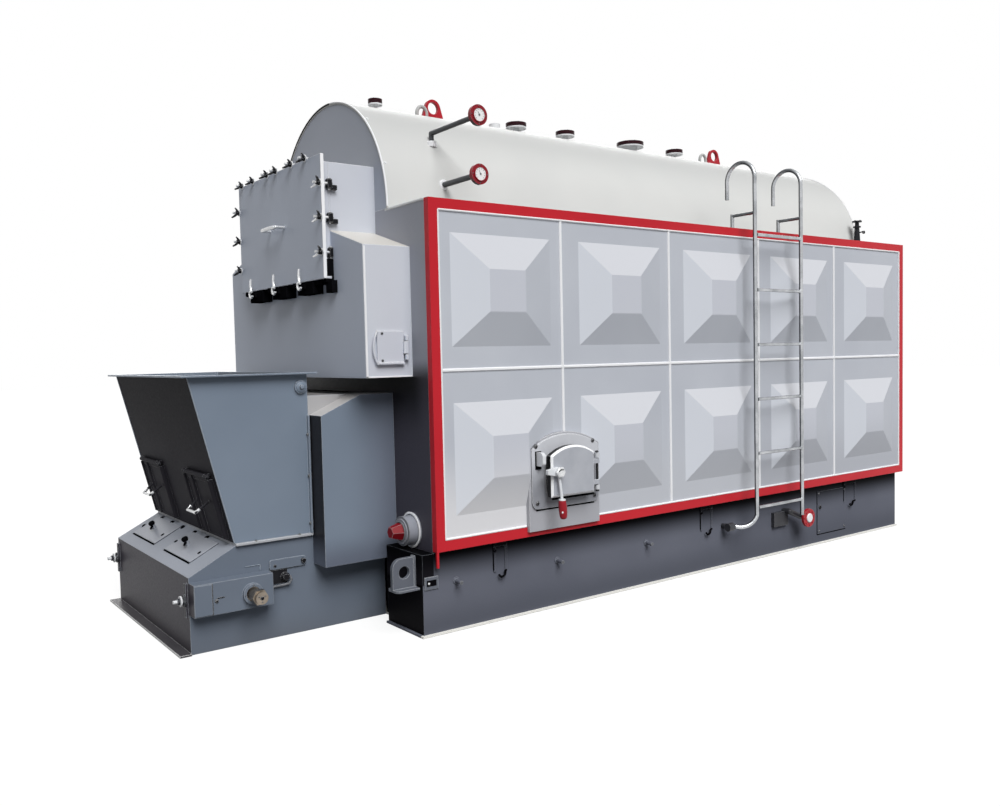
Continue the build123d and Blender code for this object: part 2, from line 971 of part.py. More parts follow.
def chain_grate():
    slat = grate_slat()
    loop = []
    for side in (-1, 1):
        middle = grate_middle + side * chain_spread
        plane = Plane.YZ.offset(middle - grate_chain_width / 2)
        ring = chain_outline(grate_chain_radius) - chain_outline(grate_chain_radius - grate_chain_depth)
        loop.append(extrude(plane * ring, amount=grate_chain_width))
    for step in range(grate_slats):
        y, z, turn = chain_place(grate_loop / grate_slats * (step + 0.5))
        loop.append(Pos(0, y, z) * Rot(turn, 0, 0) * slat)
    return loop[0].fuse(*loop[1:])


def grate_frame():
    # Two skid rails under the top run, on cross beams from base beam to base beam
    top = shaft_height + grate_chain_radius - grate_chain_depth - fit_gap
    frame = None
    for side in (-1, 1):
        middle = grate_middle + side * chain_spread
        rail = block(
            middle - rail_width / 2, middle + rail_width / 2,
            shaft_y + rail_end_space, grate_rear - rail_end_space, top - rail_depth, top
        )
        frame = rail if frame is None else frame + rail
    first = base_front + rail_end_space
    last = grate_rear - 2 * rail_end_space
    for step in range(cross_beam_count):
        y = first + (last - first) * step / (cross_beam_count - 1)
        frame = frame + block(
            -beam_inner, beam_inner, y - cross_beam / 2, y + cross_beam / 2, top - rail_depth - cross_beam,
            top - rail_depth
        )
    return frame


# Hopper: four sheets, a rim and a foot flange

front_lean = hopper_overhang / hopper_rise


def hopper_face(height):
    # Outer y of the leaning front sheet at a height
    return slope_foot - front_lean * (height - stoker_top)


def hopper_side(x0):
    outline = [
        (hopper_face(hopper_floor), hopper_floor),
        (hopper_back, hopper_floor),
        (hopper_back, hopper_top),
        (hopper_face(hopper_top), hopper_top),
    ]
    return along_x(outline, x0, x0 + hopper_sheet)


def hopper_side_right():
    # The right sheet also carries a round boss near its top rear corner
    boss_y = hopper_back - side_boss_back
    boss_z = hopper_top - side_boss_drop
    boss = rod_x(stoker_right, stoker_right + side_boss_length, boss_y, boss_z, side_boss_radius)
    flange = block(
        stoker_right, stoker_right + back_flange_width, hopper_back - back_flange, hopper_back, hopper_floor,
        side_box_shoulder
    )
    return hopper_side(stoker_right - hopper_sheet) + boss + flange


flap_hinge_height = hopper_floor + flap_rise + flap_height
flap_middles = [(stoker_left + stoker_right) / 2 + side * flap_spread for side in (-1, 1)]


def hopper_front():
    thick = hopper_sheet * math.sqrt(1 + front_lean**2)
    outline = [
        (hopper_face(hopper_floor), hopper_floor),
        (hopper_face(hopper_floor) + thick, hopper_floor),
        (hopper_face(hopper_top) + thick, hopper_top),
        (hopper_face(hopper_top), hopper_top),
    ]
    sheet = along_x(outline, stoker_left + hopper_sheet, stoker_right - hopper_sheet)
    for middle in flap_middles:
        half = flap_width / 2 - flap_hole_margin
        low = hopper_floor + flap_rise + flap_hole_margin
        high = flap_hinge_height - flap_hole_margin
        rear = slope_foot + 2 * hopper_sheet
        sheet = sheet - block(middle - half, middle + half, stoker_front, rear, low, high)
    return sheet


def hopper_rear():
    return block(
        stoker_left + hopper_sheet, stoker_right - hopper_sheet, hopper_back - hopper_sheet, hopper_back,
        hopper_floor, hopper_top
    )


def hopper_rim():
    lip = hopper_face(hopper_top)
    outer = block(
        stoker_left - rim_out, stoker_right + rim_out, lip - rim_out, hopper_back + rim_out,
        hopper_top, hopper_top + rim_thickness
    )
    inner = block(
        stoker_left + hopper_sheet, stoker_right - hopper_sheet,
        lip + hopper_sheet, hopper_back - hopper_sheet, hopper_top - 1, hopper_top + rim_thickness + 1
    )
    return outer - inner


def hopper_foot():
    outer = block(
        stoker_left, stoker_right + base_flange_out, slope_foot, hopper_back, stoker_top, hopper_floor
    )
    inner = block(
        stoker_left + base_flange_width, stoker_right - base_flange_width, slope_foot + base_flange_width,
        hopper_back - base_flange_width, stoker_top - 1, hopper_floor + 1
    )
    return outer - inner


flap_axis_out = knuckle_radius + flap_gap
flap_ear_spot = flap_width / 2 - flap_ear_inset
flap_barrel_length = flap_width - 2 * (flap_ear_inset + knuckle_length / 2 + flap_barrel_space)


def flap_plane(middle):
    # Lies on the leaning sheet with its x along the row's x and its z square to the sheet, outwards
    lean = math.atan(front_lean)
    return Plane(
        origin=(middle, hopper_face(flap_hinge_height), flap_hinge_height),
        x_dir=(1, 0, 0), z_dir=(0, -math.cos(lean), -math.sin(lean))
    )


def flap_handle():
    # A drooping loop: two arms and a bar
    half = flap_handle_width / 2
    foot = flap_gap + flap_plate
    root = [(-half, 0, foot), (half, 0, foot)]
    tip = [(side * flap_handle_tip / 2, -flap_handle_droop, foot + flap_handle_reach) for side in (-1, 1)]
    arms = [rod(start, end, flap_handle_rod) for start, end in zip(root, tip)]
    corners = [Pos(*spot) * Sphere(flap_handle_rod) for spot in tip]
    return rod(tip[0], tip[1], flap_handle_rod) + arms + corners


def hopper_flap(middle):
    edge = knuckle_radius + running_gap
    low = -(flap_height + edge) / 2
    length = flap_height - edge
    plate = Pos(0, low, flap_gap + flap_plate / 2) * Box(flap_width, length, flap_plate)
    tongue = Pos(0, -edge, flap_gap + flap_plate) * Box(flap_barrel_length, 2 * edge, flap_plate)
    rim = Pos(0, low, (flap_gap + fit_gap) / 2) * (
        Box(flap_width, length, flap_gap - fit_gap)
        - Box(flap_width - 2 * flap_rim, length - 2 * flap_rim, flap_gap)
    )
    flap = plate + tongue + rim
    face = flap_gap + flap_plate
    for x in (-flap_width / 2 + flap_rib, flap_middle_rib, flap_width / 2 - flap_rib):
        rib = Pos(x, low, face) * Rot(90, 0, 0) * Cylinder(flap_rib, length)
        flap = flap + (rib - block(x - flap_width, x + flap_width, -flap_height, 0, -flap_rib, face))
    flap = flap + Pos(0, -flap_handle_drop, 0) * flap_handle()
    axle = Pos(0, 0, flap_axis_out) * Rot(0, 90, 0)
    flap = flap + axle * Cylinder(knuckle_radius, flap_barrel_length)
    return flap_plane(middle) * (flap - axle * Cylinder(hinge_pin_radius + shaft_clearance, flap_width))


def flap_hinge(middle):
    axle = Pos(0, 0, flap_axis_out) * Rot(0, 90, 0)
    hinge = axle * Cylinder(hinge_pin_radius, flap_width - 2 * running_gap)
    for side in (-1, 1):
        ear = Pos(side * flap_ear_spot, 0, 0)
        hinge = hinge + ear * axle * Cylinder(knuckle_radius, knuckle_length)
        hinge = hinge + ear * Pos(0, knuckle_radius / 2, flap_axis_out / 2) * Box(
            knuckle_length, knuckle_radius, flap_axis_out
        )
    return flap_plane(middle) * hinge


# Side boxes and feed box

def side_box(x0, x1):
    front = hopper_back + side_box_gap
    outline = [
        (front, side_box_bottom),
        (front, side_box_shoulder),
        (front + side_box_slope_back, side_box_top),
        (casing_front, side_box_top),
        (casing_front, side_box_bottom),
    ]
    return along_x(outline, x0, x1) - base_beam() - other_side(base_beam())


def feed_box():
    return block(
        stoker_left, stoker_right, hopper_back, casing_front, stoker_top, side_box_top
    )


# Fire door: back plate and casting, collar round the throat, leaf, hinge and lever

def fire_door_plate():
    outer = fire_prism(
        fire_frame_width, fire_frame_bottom, fire_frame_spring, fire_frame_rise, fire_frame_middle,
        casing_half, fire_plate_face
    )
    casting = fire_prism(
        fire_frame_width - 2 * fire_casting_margin, fire_casting_bottom,
        fire_frame_spring - fire_casting_margin / 2, fire_frame_rise - fire_casting_margin / 2,
        fire_frame_middle, fire_plate_face, fire_frame_face
    )
    casting = fillet(casting.edges().filter_by(Axis.X).sort_by(Axis.Z)[:2], fire_casting_corner)
    collar = fire_prism(
        fire_leaf_width - 2 * fire_collar_inset, fire_leaf_bottom + fire_collar_inset,
        fire_leaf_spring - fire_collar_inset / 2, fire_leaf_rise - fire_collar_inset / 2, fire_leaf_middle,
        fire_frame_face, fire_collar_face
    )
    keeper_y = fire_leaf_middle - fire_leaf_width / 2 - keeper_width
    keeper_z = lever_height + lever_hub + running_gap
    keeper = block(
        fire_frame_face, fire_collar_face + keeper_width, keeper_y - keeper_width, keeper_y,
        keeper_z, keeper_z + keeper_height
    )
    keeper = fillet(keeper.edges().filter_by(Axis.Y).sort_by(Axis.X)[-2:], keeper_width)
    return outer + casting + collar + keeper - fire_throat(casing_half - 1, fire_collar_face + 1)


fire_axis_x = fire_frame_face + fire_axis_lift
fire_pin_bore = fire_pin_radius + shaft_clearance
fire_leaf_back = fire_collar_face + fit_gap
fire_leaf_face = fire_leaf_back + fire_leaf_plate


def fire_leaf():
    leaf = fire_prism(
        fire_leaf_width, fire_leaf_bottom, fire_leaf_spring, fire_leaf_rise, fire_leaf_middle,
        fire_leaf_back, fire_leaf_face
    )
    leaf = chamfer(leaf.faces().sort_by(Axis.X)[-1].edges(), fire_leaf_bevel)
    leaf_rear = fire_leaf_middle + fire_leaf_width / 2
    for spot, side in zip(fire_knuckle_spots, (1, -1)):
        low = spot + side * (fire_knuckle_length + running_gap) - fire_knuckle_length / 2
        high = low + fire_knuckle_length
        leaf = leaf + rod_z(fire_axis_x, fire_hinge_y, low, high, fire_knuckle)
        leaf = leaf + block(
            fire_axis_x - fire_ear_back, fire_axis_x + fire_knuckle, leaf_rear - fire_ear, fire_hinge_y,
            low, high
        )
    pin_space = rod_z(fire_axis_x, fire_hinge_y, fire_frame_bottom, casing_top, fire_pin_bore)
    return leaf - pin_space


def fire_hinge():
    half = fire_knuckle_length / 2
    low = fire_knuckle_spots[0] - half - running_gap
    high = fire_knuckle_spots[1] + half + running_gap
    hinge = rod_z(fire_axis_x, fire_hinge_y, low, high, fire_pin_radius)
    for spot in fire_knuckle_spots:
        hinge = hinge + rod_z(fire_axis_x, fire_hinge_y, spot - half, spot + half, fire_knuckle)
        hinge = hinge + block(
            fire_frame_face, fire_axis_x, fire_hinge_y - fire_ear / 2, fire_hinge_y + fire_ear / 2,
            spot - half, spot + half
        )
    return hinge


lever_y = fire_leaf_middle - fire_leaf_width / 2 + lever_inset
lever_back = fire_leaf_face + fit_gap
lever_tip = (lever_back + lever_hub_length, lever_y + lever_rod, lever_height - lever_rod_reach)


def fire_lever():
    # A cam on the leaf with a nose over the frame, and the rod below it
    hub = rod_x(lever_back, lever_back + lever_hub_length, lever_y, lever_height, lever_hub)
    outline = [
        (lever_y, lever_height - lever_hub), (lever_y - lever_nose, lever_height - lever_nose_low),
        (lever_y - lever_nose, lever_height + lever_nose_high), (lever_y, lever_height + lever_hub)
    ]
    nose = along_x(outline, lever_back, lever_back + lever_nose_plate)
    arm = rod((lever_back + lever_hub_length / 2, lever_y, lever_height), lever_tip, lever_rod)
    x, y, z = lever_tip
    end = (x + lever_rod / 2, y + lever_rod / 2, z - lever_grip)
    grip = rod(lever_tip, end, lever_grip_radius) + Pos(*end) * Sphere(lever_grip_radius)
    return hub + nose + arm + grip


# Ladder

hook_centre = casing_top + hook_rise
hook_end = ladder_plane - 2 * hook_radius


def ladder_stile(y, foot):
    straight = rod_z(ladder_plane, y, foot, hook_centre, ladder_tube)
    centre = (ladder_plane - hook_radius, y, hook_centre)
    upright = Plane(origin=centre, x_dir=(1, 0, 0), z_dir=(0, -1, 0))
    bend_path = upright * CenterArc((0, 0), hook_radius, 0, 180)
    profile = Plane(origin=(ladder_plane, y, hook_centre), z_dir=(0, 0, 1)) * Circle(ladder_tube)
    bend = sweep(profile, path=bend_path)
    drop = rod_z(hook_end, y, hook_centre, hook_centre - hook_drop, ladder_tube)
    post_x = casing_half - hook_post_inset
    rise = casing_top + hook_bracket_rise
    bracket = rod_x(ladder_plane, post_x, y, rise, hook_bracket_rod)
    post = rod_z(post_x, y, casing_top, rise + hook_bracket_rod, hook_post_rod)
    return straight + bend + drop + bracket + post


ladder_bend_end = (
    ladder_plane - ladder_bend_in, ladder_near - ladder_bend_reach, ladder_bend_start - ladder_bend_drop
)


def ladder_tail():
    # The near stile sweeps forwards and in to its fitting on the base
    start = (ladder_plane, ladder_near, ladder_bend_start)
    middle_z = ladder_bend_start - ladder_sweep_drop
    middle = (ladder_plane - ladder_sweep_in, ladder_near - ladder_sweep_reach, middle_z)
    path = ThreePointArc(start, middle, ladder_bend_end)
    profile = Plane(origin=start, z_dir=path % 0) * Circle(ladder_tube)
    return sweep(profile, path=path) + Pos(*start) * Sphere(ladder_tube)


def ladder_stiles():
    near = ladder_stile(ladder_near, ladder_bend_start) + ladder_tail()
    return group(near, ladder_stile(ladder_far, ladder_foot))


def ladder_foot_fitting():
    # A valve body on a stub from the base, which the near stile's tail meets
    x, y, z = ladder_bend_end
    collar_front = y - foot_collar_length - foot_joint
    body_front = collar_front - foot_body_length
    neck = rod_x(base_half, x, (body_front + collar_front) / 2, z, foot_neck_radius)
    body = rod_y(x, body_front, collar_front, z, foot_body_radius)
    collar = rod_y(x, collar_front, collar_front + foot_collar_length, z, foot_collar_radius)
    return neck + body + collar


def ladder_rungs():
    near = ladder_near + ladder_tube
    far = ladder_far - ladder_tube
    heights = [rung_first + rung_pitch * step for step in range(rung_count)]
    return group(*[rod_y(ladder_plane, near, far, height, rung_tube) for height in heights])


# Fittings on the drum

jacket_crown = jacket_axis + jacket_radius
full_jacket = jacket_solid(casing_front - 2 * tower_depth, casing_rear + 2 * tower_depth, jacket_radius)


def nozzle(y, flange_radius, foot_radius, head_radius):
    # A neck on the jacket's crown, its flange and, past a fine groove, the blank on it
    foot = jacket_crown - flange_radius
    head = jacket_crown + nozzle_rise
    neck = rod_z(0, y, foot, head, foot_radius)
    if head_radius > foot_radius:
        neck = neck + taper((0, y, jacket_crown), (0, y, head), foot_radius, head_radius)
    top = head + nozzle_flange
    flange = rod_z(0, y, head, top, flange_radius)
    joint = rod_z(0, y, top, top + nozzle_joint, flange_radius - nozzle_joint)
    blank = rod_z(0, y, top + nozzle_joint, top + nozzle_joint + nozzle_blank, flange_radius)
    return neck - full_jacket + flange + joint + blank


def top_nozzles():
    foot = jacket_crown - vent_stub_radius
    stub = rod_z(0, vent_stub_y, foot, jacket_crown + vent_stub_rise, vent_stub_radius)
    return group(*[nozzle(*sizes) for sizes in nozzles], stub - full_jacket, rear_standpipe())


def drum_lug(y):
    # An eye plate with a rounded top, standing on a pad
    foot = jacket_crown + lug_pad
    top_radius = drum_lug_height - drum_lug_hole_height
    centre = foot + drum_lug_hole_height
    shoulder = centre + drum_lug_shoulder
    side = math.sqrt(top_radius**2 - drum_lug_shoulder**2)
    half = drum_lug_width / 2
    left = (y - side, shoulder)
    right = (y + side, shoulder)
    sides = Polyline(left, (y - half, foot), (y + half, foot), right)
    outline = make_face(sides + ThreePointArc(left, (y, foot + drum_lug_height), right))
    plate = extrude(Plane.YZ.offset(-drum_lug_plate / 2) * outline, amount=drum_lug_plate)
    pad = block(-lug_pad_width / 2, lug_pad_width / 2, y - lug_pad_length / 2, y + lug_pad_length / 2,
                jacket_crown - lug_pad, foot)
    hole = rod_x(-drum_lug_plate, drum_lug_plate, y, centre, drum_lug_hole)
    return plate - hole + (pad - full_jacket)


def gauge_pipes():
    upper = rod_z(gauge_upper_x, gauge_y, jacket_axis, gauge_upper_height, gauge_upper_rod) - full_jacket
    upper = upper + Pos(gauge_upper_x, gauge_y, gauge_upper_height) * Sphere(gauge_upper_rod)
    upper = upper + rod_x(gauge_upper_x, gauge_flange_x, gauge_y, gauge_upper_height, gauge_upper_rod)
    lower = rod_x(0, gauge_flange_x, gauge_y, gauge_lower_height, gauge_lower_rod) - full_jacket
    upper = upper.solids().sort_by(Axis.X)[-1] + gauge_disc(gauge_upper_height)
    lower = lower.solids().sort_by(Axis.X)[-1] + gauge_disc(gauge_lower_height)
    return group(upper, lower)


def gauge_disc(height):
    # A flange with a round dial on its outer face
    end = gauge_flange_x + gauge_flange
    dial = rod_x(end, end + gauge_dial, gauge_y, height, gauge_face_radius)
    return rod_x(gauge_flange_x, end, gauge_y, height, gauge_flange_radius) + dial


def rear_standpipe():
    y = casing_rear - standpipe_inset
    top = casing_top + standpipe_rise
    neck = taper((standpipe_x, y, casing_top), (standpipe_x, y, top), standpipe_foot, standpipe_neck)
    flange = rod_z(standpipe_x, y, top, top + standpipe_plate, standpipe_flange)
    low = top - standpipe_collar_drop
    return neck + flange + rod_z(standpipe_x, y, low, low + standpipe_plate, standpipe_collar)


# Header coupling and its plug, a tapered hexagon

def header_coupling():
    y = casing_front
    rings = []
    for radius, length in coupling_rings:
        rings.append(rod_y(coupling_x, y, y - length, coupling_height, radius))
        y = y - length
    plane = Plane(origin=(coupling_x, y, coupling_height), z_dir=(0, -1, 0), x_dir=(1, 0, 0))
    inset = (plug_radius - plug_tip_radius) * math.cos(math.pi / plug_sides)
    lean = math.degrees(math.atan(inset / plug_length))
    plug = extrude(plane * RegularPolygon(plug_radius, plug_sides), amount=plug_length, taper=lean)
    return rings[0].fuse(*rings[1:]) + plug


# Blow-down pipe

def blowdown_pipe():
    elbow_x = base_half + blowdown_out
    low = blowdown_height - blowdown_drop
    path = [
        (base_half, blowdown_start, blowdown_height), (elbow_x, blowdown_start, blowdown_height),
        (elbow_x, blowdown_end, low), (base_half + blowdown_flange_out, blowdown_end, low)
    ]
    pipe = None
    for start, end in zip(path, path[1:]):
        run = rod(start, end, blowdown_rod)
        pipe = run if pipe is None else pipe + run
    for corner in path[1:-1]:
        pipe = pipe + Pos(*corner) * Sphere(blowdown_rod)
    bracket = block(
        base_half, base_half + blowdown_out / 2,
        blowdown_start - blowdown_bracket, blowdown_start + blowdown_rod,
        blowdown_height - blowdown_bracket_drop, blowdown_height
    )
    x, y, z = path[-1]
    return pipe + bracket + rod_x(x, x + blowdown_flange, y, z, blowdown_flange_radius)


os.makedirs("parts", exist_ok=True)

save(base_beam(), "base_beam_right")
save(other_side(base_beam()), "base_beam_left")
save(base_floor(), "base_floor_plate")
save(base_rear_plate(), "base_rear_plate")
save(group(base_lug(), other_side(base_lug())), "base_lugs")
save(side_wall_left(), "furnace_wall_left")
save(side_wall_right(), "furnace_wall_right")
save(roof_sheets(), "roof_shoulders")
save(front_wall(), "front_wall")
save(rear_wall(), "rear_wall")
save(steam_drum(), "steam_drum")
save(drum_jacket(), "drum_jacket")
save(drum_end(casing_front, casing_front + drum_end_plate), "drum_front_plate")
save(trim_frame() - fire_frame_space(), "trim_frame_right")
save(other_side(trim_frame()), "trim_frame_left")
save(upper_panels(), "upper_panels_right")
save(clear_of_fire_door(lower_panels()), "lower_panels_right")
save(other_side(upper_panels()), "upper_panels_left")
save(other_side(lower_panels()), "lower_panels_left")
save(clear_of_fire_door(seam_bars()), "seam_bars_right")
save(other_side(seam_bars()), "seam_bars_left")
save(tower_body(), "smokebox_body")
save(tower_neck(), "smokebox_neck")
save(smokebox_cover(), "smokebox_cover")
save(cover_handle(), "cover_handle")
save(cleanout_door(), "cleanout_door_right")
save(cleanout_hinge(), "cleanout_hinge_right")
save(other_side(cleanout_door()), "cleanout_door_left")
save(other_side(cleanout_hinge()), "cleanout_hinge_left")
save(stoker_box(), "stoker_box")
save(floor_lip(), "stoker_floor_lip")
save(group(*[inspection_cover(x) for x in cover_spots]), "inspection_covers")
save(drive_housing(), "drive_housing")
save(grate_shaft(), "grate_shaft")
save(chain_grate(), "chain_grate")
save(grate_frame(), "grate_frame")
save(hopper_side_right(), "hopper_side_right")
save(hopper_side(stoker_left), "hopper_side_left")
save(hopper_front(), "hopper_front")
save(hopper_rear(), "hopper_rear")
save(hopper_rim(), "hopper_rim")
save(hopper_foot(), "hopper_foot_flange")
for side, middle in zip(("left", "right"), flap_middles):
    save(hopper_flap(middle), f"hopper_flap_{side}")
    save(flap_hinge(middle), f"flap_hinge_{side}")
save(side_box(stoker_right, stoker_right + side_box_width), "side_box_right")
save(side_box(stoker_left - side_box_width, stoker_left), "side_box_left")
save(feed_box(), "feed_box")
save(fire_door_plate(), "fire_door_plate")
save(fire_leaf(), "fire_door")
save(fire_hinge(), "fire_door_hinge")
save(fire_lever(), "fire_door_lever")
save(ladder_stiles(), "ladder_stiles")
save(ladder_rungs(), "ladder_rungs")
save(top_nozzles(), "top_nozzles")
save(group(*[drum_lug(y) for y in drum_lug_spots]), "drum_lugs")
save(gauge_pipes(), "gauge_pipes")
save(header_coupling(), "header_coupling")
save(group(blowdown_pipe(), ladder_foot_fitting()), "base_fittings")
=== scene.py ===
import bmesh
import bpy
import math
import numpy as np
from mathutils import Matrix, Vector


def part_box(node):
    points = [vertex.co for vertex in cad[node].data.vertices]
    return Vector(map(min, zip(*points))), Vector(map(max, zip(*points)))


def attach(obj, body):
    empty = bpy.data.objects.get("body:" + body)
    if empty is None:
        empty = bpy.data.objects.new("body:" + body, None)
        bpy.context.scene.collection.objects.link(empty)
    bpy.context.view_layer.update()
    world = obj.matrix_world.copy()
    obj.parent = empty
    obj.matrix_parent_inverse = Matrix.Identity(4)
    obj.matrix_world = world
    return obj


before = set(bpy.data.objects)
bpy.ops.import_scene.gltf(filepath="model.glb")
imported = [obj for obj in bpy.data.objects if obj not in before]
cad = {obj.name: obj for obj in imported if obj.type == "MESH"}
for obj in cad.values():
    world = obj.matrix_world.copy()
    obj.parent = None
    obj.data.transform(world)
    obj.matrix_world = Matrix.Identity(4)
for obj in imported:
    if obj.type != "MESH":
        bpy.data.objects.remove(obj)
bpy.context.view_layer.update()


# Node and colour helpers

def toLinear(hexCode):
    # sRGB hex to linear RGBA
    shares = [int(hexCode[i:i + 2], 16) / 255 for i in (1, 3, 5)]
    return tuple(c / 12.92 if c <= 0.04045 else ((c + 0.055) / 1.055) ** 2.4 for c in shares) + (1.0,)


def addNode(tree, kind, inputs=None, **settings):
    # one node: its own properties, then values or feeding sockets for its inputs
    node = tree.nodes.new(kind)
    for key, value in settings.items():
        setattr(node, key, value)
    for key, value in (inputs or {}).items():
        if isinstance(value, bpy.types.NodeSocket):
            tree.links.new(value, node.inputs[key])
        else:
            node.inputs[key].default_value = value
    return node


def mixColour(tree, factor, first, second):
    # factor 0 gives the first colour, 1 the second; each is a hex or a socket
    node = addNode(tree, "ShaderNodeMix", data_type="RGBA")
    sockets = [s for s in node.inputs if s.type == "RGBA"]
    for socket, value in zip(sockets, (first, second)):
        if isinstance(value, str):
            socket.default_value = toLinear(value)
        else:
            tree.links.new(value, socket)
    tree.links.new(factor, node.inputs[0])
    return [s for s in node.outputs if s.type == "RGBA"][0]


def zoneMask(tree, place, bounds):
    # 1 between the bounds, given in millimetres of object coordinates, else 0
    split = addNode(tree, "ShaderNodeSeparateXYZ", {"Vector": place})
    mask = None
    for axis, low, high in bounds:
        for bound, test in ((low, "GREATER_THAN"), (high, "LESS_THAN")):
            if bound is None:
                continue
            part = addNode(tree, "ShaderNodeMath", {0: split.outputs[axis], 1: bound / 1000}, operation=test)
            if mask is not None:
                part = addNode(tree, "ShaderNodeMath", {0: mask, 1: part.outputs[0]}, operation="MULTIPLY")
            mask = part.outputs[0]
    return mask


def smoothShare(tree, place, axis, start, end):
    # 0 before the start, 1 past the end, along one axis in millimetres
    along = addNode(tree, "ShaderNodeSeparateXYZ", {"Vector": place}).outputs[axis]
    return addNode(tree, "ShaderNodeMapRange",
                   {"Value": along, "From Min": start / 1000, "From Max": end / 1000},
                   interpolation_type="SMOOTHSTEP").outputs[0]


noiseSpread = {"From Min": 0.3, "From Max": 0.7}  # most of a noise's values lie between these


def coating(name, spec):
    # A coated or bare metal surface: cloudy colour, fine grain in the bump, edges lightened as painted
    # highlights, set zones
    material = bpy.data.materials.new(name)
    material.use_nodes = True
    tree = material.node_tree
    tree.nodes.clear()
    place = addNode(tree, "ShaderNodeTexCoord").outputs["Object"]
    cloud = addNode(tree, "ShaderNodeTexNoise",
                    {"Vector": place, "Scale": 1000 / spec["cloudMm"], "Detail": 3.0, "Roughness": 0.55})
    shade = addNode(tree, "ShaderNodeMapRange", {"Value": cloud.outputs["Fac"], **noiseSpread}).outputs[0]
    colour = mixColour(tree, shade, spec["dark"], spec["light"])
    for tone, *bounds in spec.get("zones", []):
        colour = mixColour(tree, zoneMask(tree, place, bounds), colour, tone)
    for fade in spec.get("fades", []):
        # one colour passes into another along an axis, inside a zone or towards the middle when so told
        share = smoothShare(tree, place, *fade["along"])
        if "where" in fade:
            share = addNode(tree, "ShaderNodeMath", {0: share, 1: zoneMask(tree, place, fade["where"])},
                            operation="MULTIPLY").outputs[0]
        if "inwards" in fade:
            middle = addNode(tree, "ShaderNodeVectorMath", {0: place}, operation="ABSOLUTE").outputs[0]
            nearness = smoothShare(tree, middle, "X", *fade["inwards"])
            share = addNode(tree, "ShaderNodeMath", {0: share, 1: nearness}, operation="MULTIPLY").outputs[0]
        colour = mixColour(tree, share, colour, fade["hex"])
    if spec.get("facing"):
        # facets that turn along an axis by more than a few degrees take their own tone; most finishes use
        # this to paint light and shade by the way a face is turned
        normal = addNode(tree, "ShaderNodeNewGeometry").outputs["True Normal"]
        split = addNode(tree, "ShaderNodeSeparateXYZ", {"Vector": normal})
        for tone, axis, start, end in spec["facing"]:
            share = addNode(tree, "ShaderNodeMapRange",
                            {"Value": split.outputs[axis], "From Min": start, "From Max": end}).outputs[0]
            colour = mixColour(tree, share, colour, tone)
    if "seatMm" in spec:
        # grime that thins out upwards from the floor
        height = addNode(tree, "ShaderNodeSeparateXYZ", {"Vector": place}).outputs["Z"]
        low = addNode(tree, "ShaderNodeMapRange",
                      {"Value": height, "From Min": 0.0, "From Max": spec["seatMm"] / 1000,
                       "To Min": spec["seatShare"], "To Max": 0.0}).outputs[0]
        spotted = addNode(tree, "ShaderNodeMath", {0: low, 1: cloud.outputs["Fac"]}, operation="MULTIPLY")
        colour = mixColour(tree, spotted.outputs[0], colour, spec["seatHex"])
    rounded = {}
    if "edgeHex" in spec:
        # the bevel's normal leaves the plain one near an edge: there the bump is rounded, and the edge colour
        # mixed in is a painted highlight
        edge = addNode(tree, "ShaderNodeBevel", {"Radius": spec.get("edgeMm", 4) / 1000}, samples=3)
        rounded = {"Normal": edge.outputs[0]}
        plain = addNode(tree, "ShaderNodeNewGeometry").outputs["Normal"]
        turn = addNode(tree, "ShaderNodeVectorMath", {0: edge.outputs[0], 1: plain}, operation="DOT_PRODUCT")
        edgeHighlight = addNode(tree, "ShaderNodeMapRange",
                       {"Value": turn.outputs["Value"], "From Min": 0.995, "From Max": 0.93,
                        "To Min": 0.0, "To Max": spec.get("edgeShare", 0.5)}).outputs[0]
        colour = mixColour(tree, edgeHighlight, colour, spec["edgeHex"])
    grain = addNode(tree, "ShaderNodeTexNoise",
                    {"Vector": place, "Scale": 1000 / spec["grainMm"], "Detail": 4.0, "Roughness": 0.6})
    bump = addNode(tree, "ShaderNodeBump",
                   {"Height": grain.outputs["Fac"], "Strength": spec["grain"],
                    "Distance": spec["grainMm"] / 2000, **rounded})
    if "sagMm" in spec:
        # the slow waves of thin sheet
        wave = addNode(tree, "ShaderNodeTexNoise",
                       {"Vector": place, "Scale": 1000 / spec["sagMm"], "Detail": 1.0, "Roughness": 0.4})
        bump = addNode(tree, "ShaderNodeBump",
                       {"Height": wave.outputs["Fac"], "Strength": spec["sag"], "Distance": 0.02,
                        "Normal": bump.outputs[0]})
    rough = addNode(tree, "ShaderNodeMapRange",
                    {"Value": grain.outputs["Fac"], **noiseSpread,
                     "To Min": spec["rough"] - 0.05, "To Max": spec["rough"] + 0.05}).outputs[0]
    shader = addNode(tree, "ShaderNodeBsdfPrincipled",
                     {"Base Color": colour, "Roughness": rough, "Metallic": spec.get("metal", 0.0),
                      "Specular IOR Level": spec.get("specular", 0.35), "Normal": bump.outputs[0]})
    addNode(tree, "ShaderNodeOutputMaterial", {"Surface": shader.outputs[0]})
    return material
